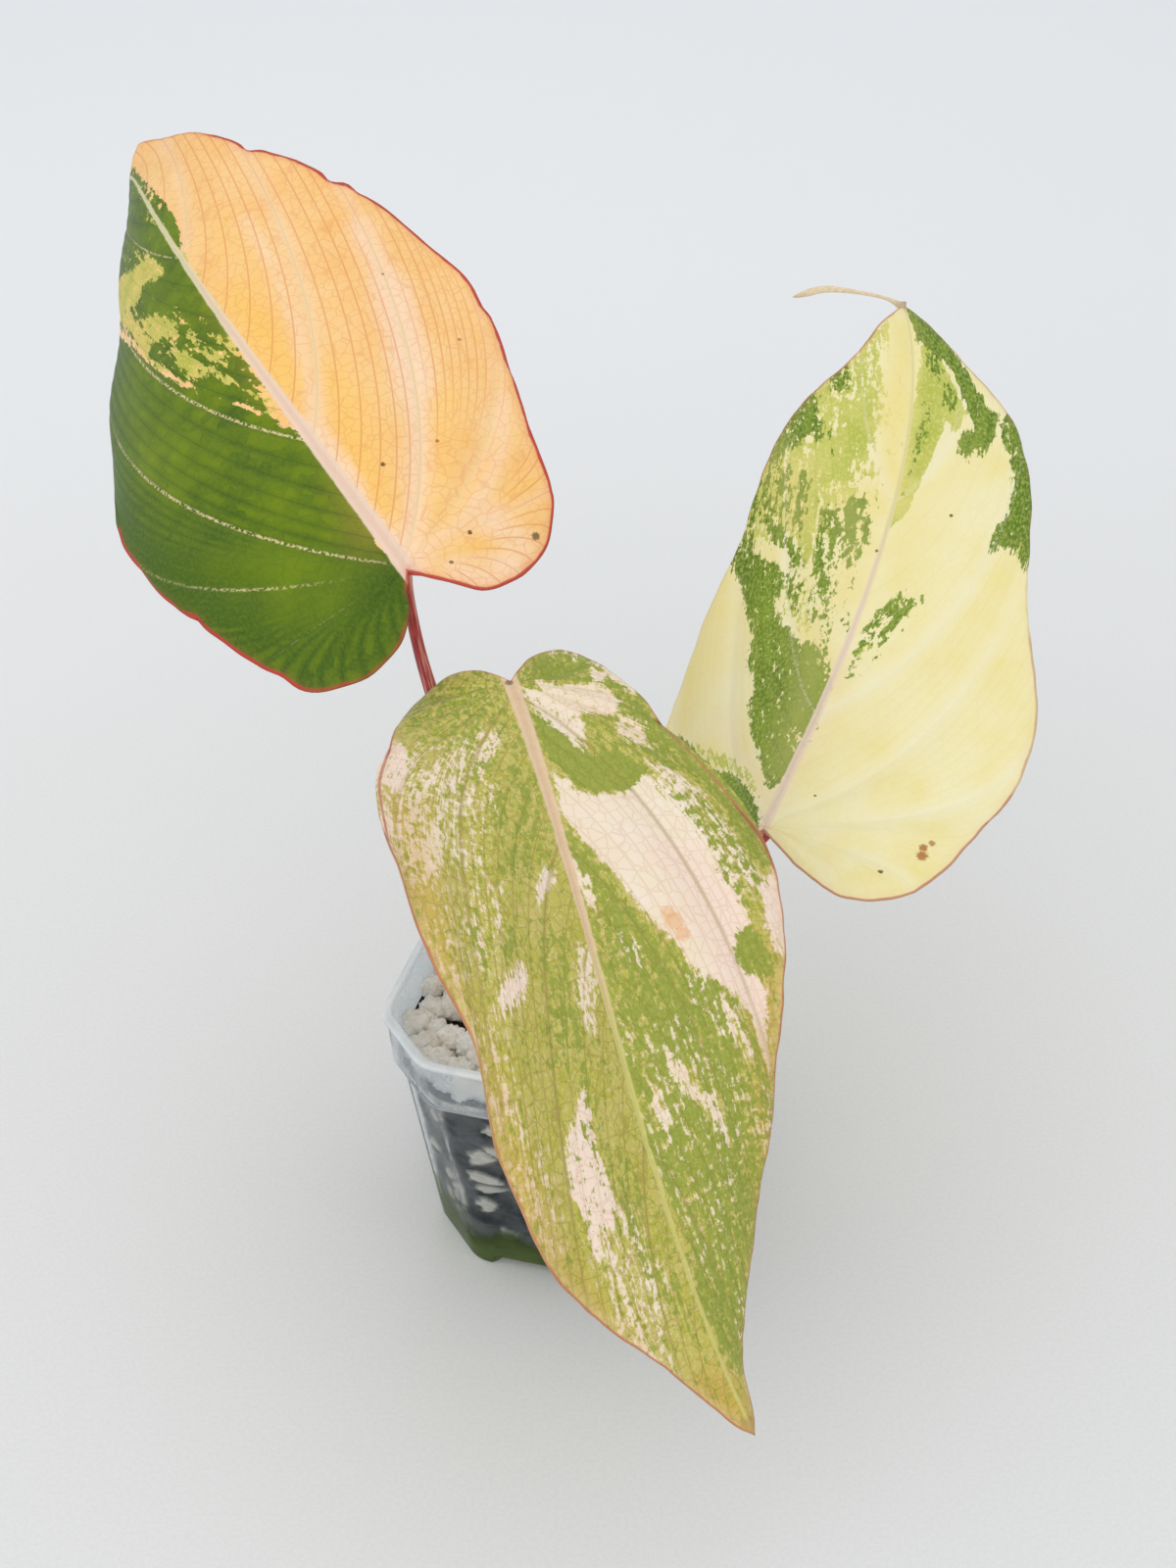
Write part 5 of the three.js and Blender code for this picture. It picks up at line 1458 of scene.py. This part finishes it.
def pumice_topping():
    stones, half = place_stones()
    rng = np.random.default_rng(8)
    balls = {cuts: unit_ball(cuts) for cuts in (3, 4)}
    points, faces, facts, first = [], [], [], 0
    for index, (x, y, r, z) in enumerate(stones):
        ball, ball_faces = balls[4 if r > 3 else 3]
        offset = Vector((index * 7.3, index * 3.1, 0.5))
        size = []
        for way in ball:
            v = Vector(way)
            lump = abs(noise.noise(v * 1.35 + offset))
            knob = abs(noise.noise(v * 3.1 + offset * 2))
            rough = noise.noise(v * 8.0 + offset)
            size.append(0.82 + 0.46 * lump + 0.27 * knob + 0.055 * rough)
        turn = rng.random() * 2 * math.pi
        shape = ball * np.array(size)[:, None] * np.array([1.1, 0.95, 0.85]) * r
        c, s = math.cos(turn), math.sin(turn)
        shape = shape @ np.array([[c, s, 0], [-s, c, 0], [0, 0, 1.0]])
        shape += (x, y, z)
        shape[:, 2] = np.maximum(shape[:, 2], MIX_TOP + GAP)
        limit = np.array([inside_half(v) for v in shape[:, 2]]) - 0.4
        shape[:, :2] = np.clip(shape[:, :2], -limit[:, None], limit[:, None])
        corner = np.abs(shape[:, :2]).sum(axis=1) / math.sqrt(2)
        allowed = math.sqrt(2) * limit - CUT_CORNER / 2 - 0.4
        shape[:, :2] *= np.minimum(1, allowed / corner)[:, None]
        away = np.linalg.norm(shape[:, :2], axis=1)
        shape[:, :2] *= np.maximum(1, (RHIZOME_RADIUS + 0.9) / np.maximum(away, 0.1))[:, None]
        points.append(shape)
        faces.append(ball_faces + first)
        # The second number is how far each point of a stone is sunk, which the material paints darker as painted
        # shade.
        facts.append(np.column_stack([np.full(len(ball), rng.random()), 1.3 - np.array(size), np.zeros(len(ball))]))
        first += len(ball)
    # A thin dark bed of fines under them.
    ring = fine_ring(half)
    floor = MIX_TOP + GAP
    columns = len(ring)
    for k, share in enumerate(np.r_[1.0, np.linspace(1, 0.22, BED_RINGS)]):
        xy = ring * share
        z = np.full(columns, floor)
        if k > 0:
            z = z + BED_THICK + [1.1 * abs(noise.noise(Vector((a * 0.35, b * 0.35, 2.0)))) - 0.5 for a, b in xy]
        points.append(np.column_stack([xy, z]))
        facts.append(np.column_stack([np.full(columns, 0.3), np.full(columns, 0.3), np.ones(columns)]))
    faces.append(grid_faces(BED_RINGS + 1, columns, first, closed=True))
    skin = [face for block in faces for face in block]
    piece = make_mesh("pumice_stones", turned(np.concatenate(points)), skin, {"stone": np.concatenate(facts)})
    return dress(piece, pumice_material(), "pumice_topping")


def pumice_material():
    net = Net("pumice")
    tint, hollow_shade, bed = net.split(net.attribute("stone"))
    place = net.place()
    pores = net.noise(place, 1900.0, 4.0, 0.7)
    pits = net.cell_edge(place, 1300.0)
    stain = net.noise(place, 150.0, 3.0).step(0.4, 0.7)
    pale = net.blend(tint, (246, 243, 237), (234, 230, 223))
    pale = net.blend(stain * 0.35, pale, (212, 198, 174))
    # Painted shade: the sunk places of each stone are painted darker.
    pale = net.blend(hollow_shade.step(0.36, 0.56) * 0.22, pale, (176, 166, 150))
    # Painted shade: the low places of the pore pattern, which the bump also sinks, are painted darker.
    pale = net.blend(pores.step(0.5, 0.34) * 0.28, pale, (172, 164, 152))
    dark = net.blend(pores, (20, 17, 16), (58, 46, 38))
    colour = net.blend(bed, pale, dark)
    height = pores * 0.7 + pits.step(0.0, 0.25) * 0.4
    return net.finish(Base_Color=colour, Roughness=0.88, Specular_IOR_Level=0.25,
                      Normal=net.bump(height, 0.7, 0.0005))


pumice_topping()


# ---------------------------------------------------------------- rhizome and roots

RHIZOME_FOOT = 46
ROOTS = 6


def rhizome():
    numbers = repeatable(7)
    columns = 48
    angle = turns(columns)
    profile = [(RHIZOME_FOOT, 0.5), (50, 0.85), (56, 1), (60, 0.9), (64, 1), (69, 0.98), (71.2, 0.86),
               (71.9, 0.6), (RHIZOME_TOP, 0.3)]
    heights = np.linspace(RHIZOME_FOOT, RHIZOME_TOP, 66)
    share = np.interp(heights, *zip(*profile))
    rings = []
    for z, wide in zip(heights, share):
        scar = 0.35 * math.exp(-(((z + 1.5) % 4.6 - 2.3) / 0.5) ** 2)
        bump = np.array([noise.noise(Vector((math.cos(a) * 1.4, math.sin(a) * 1.4, z * 0.22))) for a in angle])
        r = RHIZOME_RADIUS * wide * (0.97 + 0.05 * bump) + scar
        rings.append(np.column_stack([r * np.cos(angle), r * np.sin(angle), np.full(columns, z)]))
    stem, faces = closed_skin(np.concatenate(rings), columns, [0, 0, RHIZOME_FOOT], [0, 0, RHIZOME_TOP + TUBE_END])
    points, kind, first = [stem], [np.zeros(len(stem))], len(stem)
    for i in range(ROOTS):
        turn = 2 * math.pi * (i + 0.3 * next(numbers)) / ROOTS
        out = np.array([math.cos(turn), math.sin(turn)])
        reach = 19 + 7 * next(numbers)
        low, deep = 44 - 4 * next(numbers), 16 + 10 * next(numbers)
        control = [(*(out * 2), 54 - 2 * (i % 3)), (*(out * reach), low), (*(out * (reach + 3)), deep)]
        t = np.linspace(0, 1, 40)
        line = bezier(control, t)[0]
        line[:, :2] += np.array([[0.6 * noise.noise(Vector((v * 6, i, k))) for k in (0, 5)] for v in t])
        tube_points, tube_faces, _ = tube(line, 1.7 * (1 - 0.3 * t), 12)
        points.append(tube_points)
        kind.append(np.ones(len(tube_points)))
        faces += [tuple(v + first for v in f) for f in tube_faces]
        first += len(tube_points)
    piece = make_mesh("rhizome_stem", np.concatenate(points), faces, {"root": np.concatenate(kind)})
    return dress(piece, stem_material(), "rhizome")


def stem_material():
    net = Net("green_stem")
    root = net.value("root")
    place = net.place()
    _, _, z = net.split(place)
    bark = net.noise(place, 420.0, 4.0, 0.6).step(0.3, 0.7)
    ring = net.math("SINE", z * 1365.0 + bark * 2.0).step(0.5, 1.0)
    colour = net.blend(bark, (104, 112, 58), (136, 120, 74))
    colour = net.blend(ring * 0.6, colour, (84, 66, 44))
    colour = net.blend(root, colour, net.blend(bark, (206, 190, 158), (166, 140, 104)))
    return net.finish(Base_Color=colour, Roughness=0.62, Specular_IOR_Level=0.35,
                      Normal=net.bump(bark * 0.7 + ring * 0.5, 0.5, 0.0005))


rhizome()


# ---------------------------------------------------------------- floor

def studio_floor():
    """The floor and the wall behind it in one bent sheet, in metres."""
    net = Net("floor")
    speck = net.noise(net.place(), 900.0, 2.0).step(0.3, 0.7)
    _, far, _ = net.split(net.place())
    near = net.blend(speck, (226, 226, 225), (230, 230, 229))
    # Painted light: the floor is painted lighter towards the back, and the wall behind it too, standing in for the
    # light that falls more there.
    colour = net.blend(far.step(0.0, 0.75), near, (236, 237, 238))
    material = net.finish(Base_Color=colour, Roughness=0.55, Specular_IOR_Level=0.25)
    mesh = bpy.data.meshes.new("floor")
    bend = [(1.6 + 0.9 * math.sin(a), 0.9 - 0.9 * math.cos(a)) for a in np.linspace(0.1, math.pi / 2, 14)]
    steps = [(-2.2, 0.0), (1.6, 0.0), *bend, (2.5, 3.2)]
    points = [(x, y, z) for y, z in steps for x in (-3.0, 3.0)]
    faces = [(2 * i, 2 * i + 1, 2 * i + 3, 2 * i + 2) for i in range(len(steps) - 1)]
    mesh.from_pydata(points, [], faces)
    mesh.shade_smooth()
    mesh.materials.append(material)
    floor = bpy.data.objects.new("floor", mesh)
    scene.collection.objects.link(floor)


studio_floor()
